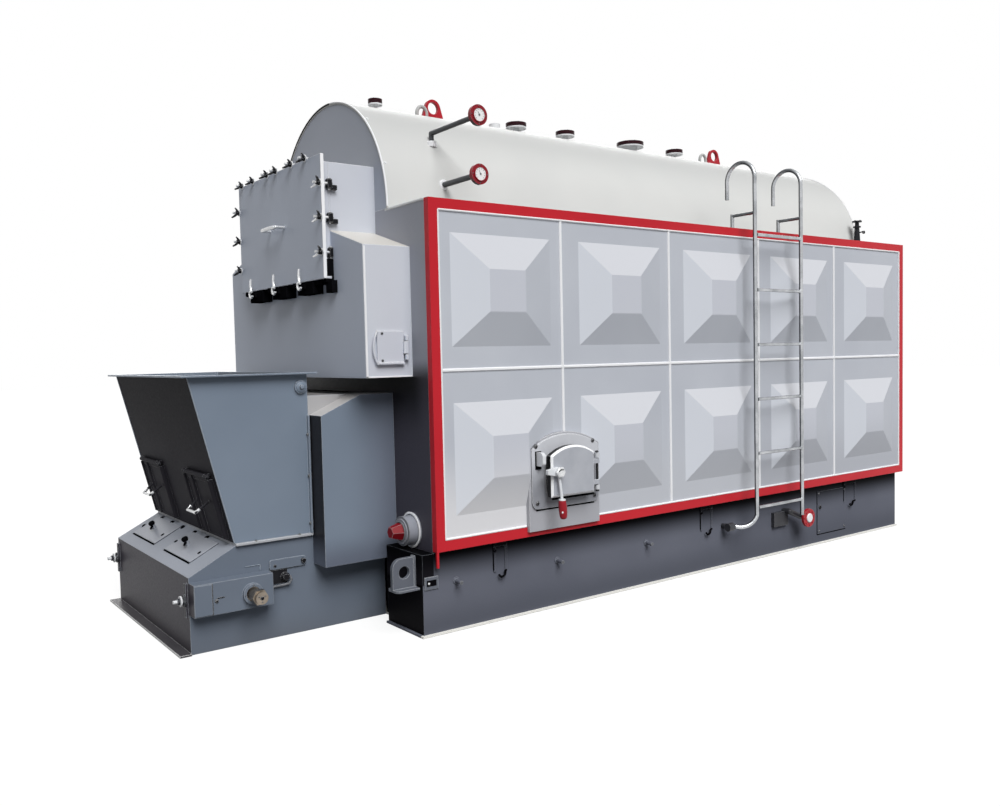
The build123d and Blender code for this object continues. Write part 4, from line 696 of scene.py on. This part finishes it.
# lugs on the neck's flank that take the side bolts, each a plate over a foot, with a bright pin through it
neckLug = {"plate": (614, 650, -2724, -2696), "foot": (614, 640, -2698, -2660), "pin": (632, -2710),
           "pinEnds": (-36, 36)}
for z in clampSet["side"]:
    clamps.append(box(*neckLug["plate"], z - 26, z + 26, 3))
    clamps.append(box(*neckLug["foot"], z - 34, z - 6, 3))
    clampRods.append(carry([(*neckLug["pin"], z + end) for end in neckLug["pinEnds"]], 7, 8))
makePiece("coverClamps", clamps, "blackHardware")
makePiece("clampRods", clampRods, "platedHardware")

# The cover's handle: a bright rounded grip over the bar and both posts, bowed outwards by half a sine wave
gripSet = {"half": 96, "y": -2831, "bow": 6, "z": 2438.5, "rod": 13}
share = np.linspace(0, 1, 9)
grip = np.stack([gripSet["half"] * (2 * share - 1), gripSet["y"] - gripSet["bow"] * np.sin(np.pi * share),
                 gripSet["z"] + 0 * share], -1)
makePiece("coverGrip", [carry(grip, gripSet["rod"], 12)], "platedHardware")

# Three latches under the cover, each with a bright upright handle and a hooked foot, and the ledge they hold;
# black blocks round them are partly brackets and partly painted shade.
# Their paths are given across and out from a latch's place, and in height.
latchSet = {"spots": [-410, -21, 372], "out": 30, "rods": [8, 9, 9, 8, 6],
            "handle": [(0, 0, 2152), (0, -3, 2112), (2, -2, 2088), (12, -4, 2070), (26, -8, 2062)],
            "spur": [(-22, -2, 2066), (6, 0, 2076)], "hookX": 10, "hookZ": 2050, "hookOut": 6, "hook": 24}
hooks, blocksAndShade = [], []
for x in latchSet["spots"]:
    place = np.array([x, coverFront - latchSet["out"], 0])
    hooks.append(carry(place + latchSet["handle"], latchSet["rods"], 10))
    bend = arc((x + latchSet["hookX"], latchSet["hookZ"]), latchSet["hook"], 130, 330, 10)
    hooks.append(carry([(across, place[1] - latchSet["hookOut"], height) for across, height in bend], 8, 10))
    hooks.append(carry(place + latchSet["spur"], 8, 10))
    # black blocks under the cover and beside it on the right: brackets and a ledge, enlarged and blackened as
    # painted shade
    blocksAndShade += [box(x - 84, x + 130, coverFront - 4, towerFront, 1996, 2068),
               box(x - 20, x + 40, coverFront - 22, coverFront + 20, 2030, 2060),
               disc((x - 96, coverFront - 4, 2056), toFront, 17, 24)]
blocksAndShade += [box(-520, 604, coverFront + 14, towerFront, 2058, 2073),
           box(500, 590, coverFront + 10, towerFront - 6, 2046, 2060),
           box(616, 648, coverFront + 16, towerFront, 2056, 2190),
           box(612, 690, coverFront + 30, towerFront, 1992, 2064)]
makePiece("latchHandles", hooks, "platedHardware")
makePiece("latchBracketsAndShade", blocksAndShade, "jointAndShadeBlack")
print("cover hardware made")

# White strips: the gasket's edge down the cover's right side, and the tower's upright and lower edges
strip = {"thick": 3, "slope": 130}  # the upright one ends where the tower's top slopes
x, outside = coverHigh[0], towerSide + strip["thick"]
z0, z1 = towerLow[2], towerHigh[2] - strip["slope"]
strips = [box(x - 1, x + strip["thick"], coverFront - 1, coverFront + 20, coverLow[2] + 2, coverHigh[2] - 2,
              1),
          box(towerSide, outside, towerFront + 2, towerFront + 14, z0 + 2, z1, 1),
          box(towerSide, outside, towerFront + 2, towerHigh[1] - 3, z0, z0 + 9, 1)]
makePiece("smokeboxStrips", strips, "whiteStrip")

# Weld beads where the smokebox meets the casing and the neck meets the tower
welds = []
for side in (-1, 1):
    x, (y0, y1), (z0, z1) = side * neckHigh[0], (neckLow[1], neckHigh[1]), (neckLow[2], neckHigh[2])
    welds.append(bead([(x, y0, z0), (x, y1, z0)]))
    welds.append(bead([(x, y1, z0), (x, y1, z1)]))
    welds.append(bead([(side * towerSide, towerHigh[1], z) for z in (towerLow[2], 2240)]))
makePiece("smokeboxWelds", welds, "upperEnamel")

# Drum jacket: a rolled rim at each end, white sealant along the shoulders' front edge, screws round the front
jacketSet = {"rims": [(jacketLow[1] + 1, -2, 6), (jacketHigh[1] - 3, 1, 3)], "foot": 784, "screwInset": 22,
             "screws": [20.5, 48, 90, 132, 159.5]}
rims, rivets = [], []
turn = np.radians(np.linspace(0.5, 179.5, 70))
for y, out, rod in jacketSet["rims"]:
    radius = jacketRadius + out
    rim = np.stack([radius * np.cos(turn), 0 * turn + y, jacketAxis + radius * np.sin(turn)], -1)
    rims.append(carry(rim, rod, 8))
# the rims are white as a painted highlight, dark on the left of the front arch as painted shade
makePiece("jacketRims", rims, "rimStrip")
sealant = [box(x0, x1, roofLow[1] - 3, roofLow[1] + 2, roofHigh[2] - 8, roofHigh[2] + 1, 1)
           for x0, x1 in ((jacketSet["foot"], roofHigh[0]), (roofLow[0], -jacketSet["foot"]))]
makePiece("shoulderStrips", sealant, "whiteStrip")
for turn in np.radians(jacketSet["screws"]):
    off = np.array([math.cos(turn), 0, math.sin(turn)])
    rivets += bolt(jacketRadius * off + (0, jacketLow[1] + jacketSet["screwInset"], jacketAxis), off, 8, 5)
makePiece("jacketScrews", rivets, "platedHardware")

# Nozzles: bolt heads over and nuts under each flange, and a weld bead that follows the jacket round each stem
nozzleSet = {"y": [-2030, -809, -314, 411, 954], "flange": [49, 80, 76, 114, 75],
             "weld": [12, 29, 32, 49, 23], "low": 3330, "high": 3371, "inset": 14, "bolt": 5.5, "bead": 4}
studs, nuts, nozzleWelds = [], [], []
turn = np.linspace(0, 2 * np.pi, 24, endpoint=False)
for y, flange, weld in zip(nozzleSet["y"], nozzleSet["flange"], nozzleSet["weld"]):
    count = 4 if flange < 60 else 8
    for group, z, axis in ((studs, nozzleSet["high"], skywards), (nuts, nozzleSet["low"], floorwards)):
        group.extend(boltRing((0, y, z), axis, flange - nozzleSet["inset"], count, nozzleSet["bolt"], 4,
                              math.pi / count))
    x = weld * np.cos(turn)
    seam = np.stack([x, y + weld * np.sin(turn), onJacket(x) + 1], -1)
    nozzleWelds.append(carry(seam, nozzleSet["bead"], 8, closed=True))
makePiece("nozzleBolts", studs, "blackHardware")
makePiece("nozzleNuts", nuts, "jacketSheet")
makePiece("nozzleWelds", nozzleWelds, "jacketSheet")

# Gauges: a red bezel with studs round each white dial, its scale, hub and pointer, and a collar where its
# pipe leaves the jacket
gaugeSet = {"y": -1985, "heights": [3016, 2672], "rim": 1155, "face": 1159, "studRing": 51, "bezel": (39, 43),
            "scale": (27, 33), "scaleTurns": (-45, 226, 30), "pointerTurn": 120, "upperCollarX": 632}
dialParts, dialStuds, dialMarks = [], [], []
inner, outer = gaugeSet["bezel"]
for z in gaugeSet["heights"]:
    rim = (gaugeSet["rim"], gaugeSet["y"], z)
    dialStuds += boltRing(rim, toRight, gaugeSet["studRing"], 4, 3.5, 3)
    dialParts.append(lathe([(inner, 0), (outer, 0), (outer, 7), (inner, 7), (inner, 0)], rim, toRight, 40))
    face = np.array([gaugeSet["face"], gaugeSet["y"], z])
    dialMarks.append(disc(face, toRight, 6, 3, 16, 1))
    for turn in np.radians(np.arange(*gaugeSet["scaleTurns"])):
        ray = np.array([0, math.cos(turn), math.sin(turn)])
        dialMarks.append(carry([face + (0.6, 0, 0) + reach * ray for reach in gaugeSet["scale"]], 1.2, 6))
    turn = math.radians(gaugeSet["pointerTurn"])
    ray = np.array([0, math.cos(turn), math.sin(turn)])
    dialMarks.append(carry([face + (1.6, 0, 0) + reach * ray for reach in (-8, 0, 24)], [1.6, 1.6, 0.7], 6))
makePiece("gaugeBezels", dialParts, "fittingEnamel")
makePiece("gaugeStuds", dialStuds, "blackHardware")
makePiece("gaugeMarks", dialMarks, "blackHardware")
collar = [(0, -26), (33, -26), (33, 4), (27, 10), (0, 10)]
upperX, lowerZ = gaugeSet["upperCollarX"], gaugeSet["heights"][1]
lowerX = math.sqrt(jacketRadius ** 2 - (lowerZ - jacketAxis) ** 2)
makePiece("gaugeCollars", [lathe(collar, (upperX, gaugeSet["y"], onJacket(upperX)), skywards),
                           lathe(collar, (lowerX, gaugeSet["y"], lowerZ), toRight)], "whiteStrip")

# Lifting lugs: weld beads at the foot, and a loose pale shackle loop on a boss beside each
lugSet = {"lugs": [-1568, 1474], "half": 90, "weldX": 16, "weldZ": 3288, "loops": [-1661, 1323], "loopX": 8,
          "loopRise": 46, "loopHalf": (40, 50), "loopRod": 13}
lugWelds, loops = [], []
for y in lugSet["lugs"]:
    for x in (-lugSet["weldX"], lugSet["weldX"]):
        ends = (y - lugSet["half"], y + lugSet["half"])
        lugWelds.append(bead([(x, end, lugSet["weldZ"]) for end in ends], 5))
turn = np.radians(np.linspace(-60, 240, 26))
along, high = lugSet["loopHalf"]
for y in lugSet["loops"]:
    loop = np.stack([lugSet["loopX"] + 0 * turn, y + along * np.cos(turn),
                     crown + lugSet["loopRise"] + high * np.sin(turn)], -1)
    loops.append(carry(loop, lugSet["loopRod"], 12))
    loops.append(lathe([(0, -6), (30, -6), (30, 7), (24, 10), (0, 10)], (lugSet["loopX"], y, crown)))
makePiece("lugWelds", lugWelds, "fittingEnamel")
makePiece("liftingLoops", loops, "jacketSheet")
print("drum fittings made")

# Trim frame: a white bead just inside the red border on both sides, broken off at the fire door's casting
beadSet = {"border": 64, "low": 484, "rod": 7, "sink": 4, "lift": 3, "doorFrom": -1745, "doorTo": -1163}
beads = []
y0, y1 = trimLow[1] + beadSet["border"], trimHigh[1] - beadSet["border"]
z0, z1 = beadSet["low"] + beadSet["border"], trimHigh[2] - beadSet["border"]
lowRun = z0 + beadSet["lift"]
for side in (-1, 1):
    runs = [((y0, z0), (y1, z0)), ((y1, z0), (y1, z1)), ((y1, z1), (y0, z1)), ((y0, z1), (y0, z0))]
    if side == 1:
        halves = ((y0, beadSet["doorFrom"]), (beadSet["doorTo"], y1))
        runs[:1] = [((start, lowRun), (end, lowRun)) for start, end in halves]
    face = side * (trimHigh[0] - beadSet["sink"])
    beads += [carry([(face, *start), (face, *end)], beadSet["rod"], 8) for start, end in runs]
makePiece("trimBeads", beads, "whiteStrip")

# Stoker slope: bolts beside the covers, their knobs with a short lever, and the dark joint round each cover
slope = {"foot": 427, "front": -3614, "rise": (566 - 427) / 268, "covers": [-508, 182], "coverFoot": 78,
         "joint": (-243, 236, -4, 194), "knobX": -39, "knobUp": 177, "knobLift": 45,
         "handle": [(-39, -3456, 30), (-20, -3470, 34), (8, -3482, 34)],
         # a row of bolts: its places in x, its y, and the heads' radius and height
         "lowBolts": ([-761, -329, -54, 381], -3470, 13, 10),
         "highBolts": ([-690, -469, -246, -16, 205], -3369, 12, 9)}
lean = math.atan(slope["rise"])
square = (0, -math.sin(lean), math.cos(lean))
upSlope = (0, math.cos(lean), math.sin(lean))


def onSlope(x, y, lift=0.0):
    # The place on the slope at x and y, lifted square off it
    return np.array([x, y, slope["foot"] + slope["rise"] * (y - slope["front"])]) + lift * np.array(square)


slopeBolts, joints, knobs = [], [], []
for row in ("lowBolts", "highBolts"):
    places, y, radius, height = slope[row]
    for x in places:
        slopeBolts += bolt(onSlope(x, y), square, radius, height)
for x in slope["covers"]:
    foot = onSlope(x, slope["front"] + slope["coverFoot"] * math.cos(lean))
    joints.append(slab(rectangle(*slope["joint"]), foot, toRight, upSlope, 2.5, 1))
    knob = onSlope(x + slope["knobX"], slope["front"] + slope["knobUp"] * math.cos(lean), slope["knobLift"])
    knobs.append(lathe([(0, -6), (17, -6), (20, 2), (20, 10), (15, 16), (0, 18)], knob, square))
    knobs.append(carry([onSlope(x + way, y, lift) for way, y, lift in slope["handle"]], 7, 8))
makePiece("slopeBolts", slopeBolts, "jointAndShadeBlack")
makePiece("coverJoints", joints, "jointAndShadeBlack")
makePiece("slopeKnobs", knobs, "jointAndShadeBlack")

# Drive housing: its end plate and dark joint, an oil slot and plug, the collar's screws, and the shaft's nut
# and centre marks, which turn with it
drive = {"face": 700, "collar": 722, "y": -3290, "z": 305, "end": 845, "plug": (700, -3492, 297),
         "endPlate": (700, 703, -3612, -3516, 226, 395), "joint": (700, 703, -3515, -3511, 224, 397),
         "slot": (700, 702, -3488, -3446, 309, 315)}
makePiece("driveEndPlate", [box(*drive["endPlate"])], "stokerEnamel")
marks = [box(*drive[mark], 0.5) for mark in ("joint", "slot")] + bolt(drive["plug"], toRight, 8, 8)
makePiece("driveMarks", marks, "blackHardware")
collarScrews = boltRing((drive["collar"], drive["y"], drive["z"]), toRight, 49, 4, 3.5, 4)
makePiece("collarScrews", collarScrews, "blackHardware")
nut = [(0, 788), (44, 788), (46, 791), (46, 822), (44, 825), (0, 825)]  # radius, place along the shaft
makePiece("shaftNut", [lathe(nut, (0, drive["y"], drive["z"]), toRight, 6)], "turnedSteel", "grate_shaft")
centre = np.array([drive["end"], drive["y"], drive["z"]], float)
shaftMarks = [disc(centre, toRight, 11, 3, 20, 1)]
for turn in np.radians([30, 150, 270]):
    spot = centre + (0, 21 * math.cos(turn), 21 * math.sin(turn))
    shaftMarks.append(disc(spot, toRight, 4, 2, 12, 0.5))
makePiece("shaftCentre", shaftMarks, "blackHardware", "grate_shaft")

# Grate lever on the stoker's side: a pivoted plate, its rod and bracket, and a stamped outline
lever = {"wall": 614, "plate": (-3154, -2931, 396, 455, 14), "plateThick": 9, "pivot": (-2948, 427),
         "stop": (-3122, 418), "knob": (-3062, 348), "bracket": (-3160, -3046, 312, 392),
         "rail": (-3134, -3040, 296, 304), "stamp": [(-3295, -3205, 437, 441), (-3209, -3204, 407, 441)],
         "rod": [(26, -3040, 352), (28, -3030, 330), (24, -3044, 309), (16, -3066, 303), (14, -3160, 300)]}
wall = lever["wall"]
plate = slab(rectangle(*lever["plate"]), (wall, 0, 0), toRear, skywards, lever["plateThick"])
makePiece("leverPlate", [plate], "stokerEnamel")
knob = [(0, 0), (22, 0), (26, 8), (26, 20), (18, 30), (0, 32)]
knobs = [disc((wall + lever["plateThick"], *lever["pivot"]), toRight, 14, 16),
         disc((wall + lever["plateThick"], *lever["stop"]), toRight, 9, 4),
         lathe(knob, (wall, *lever["knob"]), toRight), box(wall, wall + 5, *lever["bracket"])]
makePiece("leverKnobs", knobs, "blackHardware")
rod = carry(np.add(lever["rod"], (wall, 0, 0)), 7, 10)
makePiece("leverRod", [rod, box(wall, wall + 6, *lever["rail"])], "pipeEnamel")
makePiece("leverStamp", [box(wall, wall + 3, *span, 0.8) for span in lever["stamp"]], "lowerEnamel")

# Hopper: bolts on the foot flange and down the rear flange, a bolt in the side boss, welds down the corners.
# Its front sheet leans out by "out" over "tall" from the foot's line.
hopper = {"frontY": -3346, "foot": 566, "flange": 580, "out": 232, "tall": 951, "corners": [613, -867],
          "flangeBolts": [-3229, -2965], "flangeBoltX": 626, "rearFlange": (622, 634, -2890, -2878),
          "rearBolts": [1163, 919, 638], "rearBoltXY": (625, -2892), "boss": (628, -2926, 1442)}


def hopperFront(z):
    # y of the leaning front sheet at a height
    return hopper["frontY"] - (z - hopper["foot"]) * hopper["out"] / hopper["tall"]


hopperBolts = []
for y in hopper["flangeBolts"]:
    hopperBolts += bolt((hopper["flangeBoltX"], y, hopper["flange"]), skywards, 7, 6)
for z in hopper["rearBolts"]:
    hopperBolts.append(box(*hopper["rearFlange"], z - 16, z + 16))
    hopperBolts += bolt((*hopper["rearBoltXY"], z), toFront, 8, 6)
makePiece("hopperBolts", hopperBolts, "blackHardware")
boss = lathe([(0, 0), (30, 0), (30, 5), (24, 9), (0, 10)], hopper["boss"], toRight)
bossBolt = bolt(np.add(hopper["boss"], (10, 0, 0)), toRight, 11, 9, False)
makePiece("bossCap", [boss] + bossBolt, "lowerEnamel")
top = hopper["foot"] + hopper["tall"]
cornerWelds = [bead([(x, hopperFront(z), z) for z in (hopper["flange"], top)], 3.5)
               for x in hopper["corners"]]
makePiece("hopperWelds", cornerWelds, "lowerEnamel")
print("stoker and hopper hardware made")

# Flap handles: bright sleeves along the arms and the bar, plated, their brightness partly a painted highlight
# on the dark handles.
# Their points are given across, up the leaning sheet and square off it, from the middle of the flap's hinge.
flapSet = {"middle": {"left": -582, "right": 328}, "hinge": 964, "rod": 9,
           "path": [(-77, -189, 72), (-68.5, -202, 99), (68.5, -202, 99), (77, -189, 72)]}
lean = math.atan(hopper["out"] / hopper["tall"])
offSheet = np.array([0, -math.cos(lean), -math.sin(lean)])
upSheet = np.array([0, -math.sin(lean), math.cos(lean)])
for name, middle in flapSet["middle"].items():
    hinge = np.array([middle, hopperFront(flapSet["hinge"]), flapSet["hinge"]])
    path = [hinge + (x, 0, 0) + upSheet * up + offSheet * off for x, up, off in flapSet["path"]]
    sleeve = [carry(path, flapSet["rod"], 10)]
    makePiece("flapGrip" + name.capitalize(), sleeve, "platedHardware", "flap_" + name)

# Header coupling: the outer white ring and two steps, as profiles of radius and distance from the wall
coupling = {"foot": (962, -2399.5, 582), "ring": [(92, 9), (106, 9), (107, 12), (104, 14), (94, 14), (92, 9)],
            "outerStep": [(72, 71), (87.5, 71), (88, 74), (85, 76), (74, 76), (72, 71)],
            "innerStep": [(55, 81), (60, 81), (60, 86), (56, 90), (54, 88), (55, 81)]}
makePiece("couplingRing", [lathe(coupling["ring"], coupling["foot"], toFront, 48)], "whiteStrip")
steps = [lathe(coupling[step], coupling["foot"], toFront, sides)
         for step, sides in (("outerStep", 48), ("innerStep", 40))]
makePiece("couplingSteps", steps, "pipeEnamel")

# Base side: slotted bracket, short studs, hook straps under the trim, and the access cover with its lock
flank = {"face": 1189, "bracket": (-2468, -2376, 272, 345), "slot": (-2454, -2390, 292, 326),
         "pegs": [-2251, -1480, -680], "pegZ": 296, "pegOut": 58, "pegDrop": 4,
         "straps": [(-1979, -1879), (-124, 5), (1672, 1850)], "strapZ": (300, 470), "hookZ": 292, "hook": 24,
         "cover": (1304, 1701, 80, 430), "lock": (1335, 300),
         "coverBolts": [(1325, 100), (1325, 410), (1680, 100), (1680, 410)]}
face = flank["face"]
makePiece("baseBracket", [box(face + 5, face + 8, *flank["slot"], 0.5)], "jointAndShadeBlack")
makePiece("baseBracketPlate", [box(face, face + 6, *flank["bracket"])], "lugGrey")
makePiece("baseBracketSlot", bolt((face + 8, -2442, 309), toRight, 7, 5, False), "platedHardware")
pegs, pegTips = [], []
for y in flank["pegs"]:
    tip = (face + flank["pegOut"], y, flank["pegZ"] - flank["pegDrop"])
    pegs.append(carry([(face - 2, y, flank["pegZ"]), tip], 13, 14))
    pegTips.append(disc(tip, toRight, 12, 3, 16, 1))
    pegs.append(disc((face, y, flank["pegZ"]), toRight, 22, 6))
makePiece("basePegs", pegs, "baseEnamel")
makePiece("basePegTips", pegTips, "pipeEnamel")
straps, strapSides = [], []
z0, z1 = flank["strapZ"]
for y0, y1 in flank["straps"]:
    for y in (y0 + 8, y1 - 8):
        strapSides.append(box(face, face + 7, y - 8, y + 8, z0, z1))
    strapSides.append(box(face, face + 9, y0, y1, z1 - 18, z1 + 2))
    straps.append(box(face, face + 8, y0 - 4, y0 + 1, z0 + 10, z1, 0.5))
    middle = (y0 + y1) / 2
    bend = arc((middle, flank["hookZ"]), flank["hook"], 200, 380, 12)
    straps.append(carry([(face + 20, y, z) for y, z in bend], 7, 8))
    straps.append(carry([(face + 4, y1 - 8, z0), (face + 20, middle + flank["hook"], z0)], 7, 8))
    straps += bolt((face + 9, y0 + 8, 430), toRight, 8, 6, False)
makePiece("hookStraps", straps, "jointAndShadeBlack")
makePiece("strapSides", strapSides, "baseEnamel")
y0, y1, z0, z1 = flank["cover"]
makePiece("accessJoint", [box(face, face + 1.5, y0 - 8, y1 + 2, z0 - 8, z1 + 2, 0.5)], "jointAndShadeBlack")
makePiece("accessCover", [box(face, face + 4, y0, y1, z0, z1)], "baseEnamel")
lock = [lathe([(0, 0), (16, 0), (16, 6), (10, 10), (0, 10)], (face + 4, *flank["lock"]), toRight)]
for y, z in flank["coverBolts"]:
    lock += bolt((face + 4, y, z), toRight, 7, 5)
makePiece("accessLock", lock, "blackHardware")
print("base hardware made")

# Sheet that closes the front between the stoker and the beam, below the casing; black as painted shade
seal = (613, 785, -2392, -2384, 1, 480)  # from and to in x, y and z
makePiece("frontSeal", [box(*seal)], "jointAndShadeBlack")

# Fire door: screws and lines of painted shadow on the casting, a bright cap with a mark on the lever's hub, a
# red bulb on its grip with a white dot of painted highlight, the leaf's black gasket, partly painted shade,
# and the caps of the hinge's pin
fire = {"face": 1262, "screws": [(-1688, 690), (-1217, 690), (-1692, 1040), (-1226, 1044)],
        "hub": (1380.6, -1600, 885), "gripTop": (1380.6, -1591, 717), "gripWay": (4.5, 4.5, -100),
        "grip": 19.5, "gripSwell": 6.5, "gasketX": 1303, "gasketLow": 741, "gasketSpring": 975,
        "gasketRise": 50, "middle": -1461, "gasketHalf": 163, "pin": (1305, -1230),
        "pinEnds": [(972, 1), (731, -1)], "highlightDot": (1401, -1606, 642),
        "shadowLines": [(1262, 1263.5, -1572, -1224, 697, 709), (1262, 1264, -1700, -1652, 898, 1010),
                 (1250, 1251.5, -1690, -1212, 640, 651)]}
screws = []
for y, z in fire["screws"]:
    screws += bolt((fire["face"], y, z), toRight, 10, 8)
makePiece("fireScrews", screws, "blackHardware")
makePiece("fireShadowLines", [box(*span, 0.4) for span in fire["shadowLines"]], "jointAndShadeBlack")
leverCap = [lathe([(0, 0), (36, 0), (36, 7), (29, 14), (0, 15)], fire["hub"], toRight, 6),
            disc(np.subtract(fire["gripTop"], (0, 0, 5)), skywards, 22, 9)]
makePiece("leverCap", leverCap, "platedHardware", "fire_lever")
mark = [(-26, 8), (-6, 20), (16, 17), (14, 13), (-5, 15), (-24, 4)]
capMark = slab(mark, np.add(fire["hub"], (14.8, 0, 0)), toRear, skywards, 1.5, 0.4)
makePiece("leverCapMark", [capMark], "jointAndShadeBlack", "fire_lever")
# a white dot on the grip's bulb, turned outwards: a painted highlight
makePiece("gripHighlight", [disc(fire["highlightDot"], (0.8, -0.6, 0), 6, 5, 16, 1)], "whiteStrip", "fire_lever")
# the grip's bulb: its radius swells as the square root of the sine of the way down
down = np.linspace(0, 1, 14)
bulb = np.stack([fire["grip"] + fire["gripSwell"] * np.sqrt(np.sin(np.pi * down)), 2 + 112 * down], -1)
bulb = np.vstack([[(0, 2)], bulb, [(13, 119)], [(0, 121)]])
makePiece("gripBulb", [lathe(bulb, fire["gripTop"], fire["gripWay"], 24)], "fittingEnamel", "fire_lever")
# the gasket: upright sides and a parabola over them, whose height falls with the square of the way outwards
rear, front = fire["middle"] + fire["gasketHalf"], fire["middle"] - fire["gasketHalf"]
over = np.linspace(rear, front, 12)[1:-1]
bow = fire["gasketSpring"] + fire["gasketRise"] * (1 - ((over - fire["middle"]) / fire["gasketHalf"]) ** 2)
gasket = np.vstack([[(front, fire["gasketLow"]), (rear, fire["gasketLow"]), (rear, fire["gasketSpring"])],
                    np.stack([over, bow], -1),
                    [(front, fire["gasketSpring"]), (front, fire["gasketLow"])]])
# a real gasket, coloured black as painted shade in the gap round the leaf
makePiece("fireGasket", [carry([(fire["gasketX"], y, z) for y, z in gasket], 4, 8)], "jointAndShadeBlack", "fire_door")
pinCaps = [lathe([(0, 0), (12, 0), (12, 6), (8, 10), (0, 11)], (*fire["pin"], z), (0, 0, way))
           for z, way in fire["pinEnds"]]
makePiece("fireHingeCaps", pinCaps, "blackHardware")

# Clean-out doors: two screws on each
cleanout = {"face": 1020.5, "y": -2600, "heights": [1740, 1585]}
for name, side in (("Right", 1), ("Left", -1)):
    screws = []
    for z in cleanout["heights"]:
        screws += bolt((side * cleanout["face"], cleanout["y"], z), (side, 0, 0), 6, 5)
    makePiece("cleanoutScrews" + name, screws, "blackHardware", "cleanout_" + name.lower())

# Flue flange: bolts round its face, and a weld bead where the duct meets the rear wall
flue = {"half": 485, "low": 1085, "high": 1615, "face": 2651.5, "wall": 2541.5, "ductInset": 27}
sides, ends = (-flue["half"], flue["half"]), (flue["low"], flue["high"])
spots = [(x, z) for x in np.linspace(*sides, 8)[1:-1] for z in ends]
spots += [(x, z) for z in np.linspace(*ends, 5)[1:-1] for x in sides]
flueBolts = []
for x, z in spots:
    flueBolts += bolt((x, flue["face"], z), toRear, 9, 7)
makePiece("flueBolts", flueBolts, "platedHardware")
inset = flue["ductInset"]
x, z0, z1 = flue["half"] - inset, flue["low"] + inset, flue["high"] - inset
corners = [(-x, flue["wall"], z0), (x, flue["wall"], z0), (x, flue["wall"], z1), (-x, flue["wall"], z1)]
makePiece("flueWelds", [bead([corners[k], corners[(k + 1) % 4]]) for k in range(4)], "upperEnamel")

# Ladder: weld collars where each rung meets the stiles
ladder = {"rungs": 6, "first": 437, "step": 400, "x": 1349, "ends": [(333, 1), (855, -1)],
          "collar": [(12, -3), (17, -2), (15, 4), (12, 6), (12, -3)]}
rungWelds = []
for rung in range(ladder["rungs"]):
    for y, way in ladder["ends"]:
        foot = (ladder["x"], y, ladder["first"] + ladder["step"] * rung)
        rungWelds.append(lathe(ladder["collar"], foot, (0, way, 0), 16))
makePiece("rungWelds", rungWelds, "polishedTube")

# Standpipe at the rear: bolts and a small hand lever
standpipe = {"x": 833, "y": 2459.5, "flangeZ": 2751, "ring": 31, "leverZ": 2640, "lever": (70, -10, 8),
             "knob": (66, -10, 0)}
stem = np.array([standpipe["x"], standpipe["y"], standpipe["leverZ"]])
flange = (standpipe["x"], standpipe["y"], standpipe["flangeZ"])
standBolts = boltRing(flange, skywards, standpipe["ring"], 4, 5.5, 6)
standBolts.append(carry([stem, stem + standpipe["lever"]], 6, 8))
standBolts.append(disc(stem + standpipe["knob"], toRight, 14, 14))
makePiece("standpipeBolts", standBolts, "blackHardware")

# Blow-down flange: bolts round its face and a white plug in it
blowdown = {"middle": (1321, 1005, 270), "ring": 56}
ringBolts = boltRing(blowdown["middle"], toRight, blowdown["ring"], 8, 5.5, 5)
makePiece("blowdownBolts", ringBolts, "fittingEnamel")
plug = lathe([(0, 0), (36, 0), (36, 5), (31, 9), (0, 9)], blowdown["middle"], toRight)
makePiece("blowdownFace", [plug], "whiteStrip")
print("small fittings made")
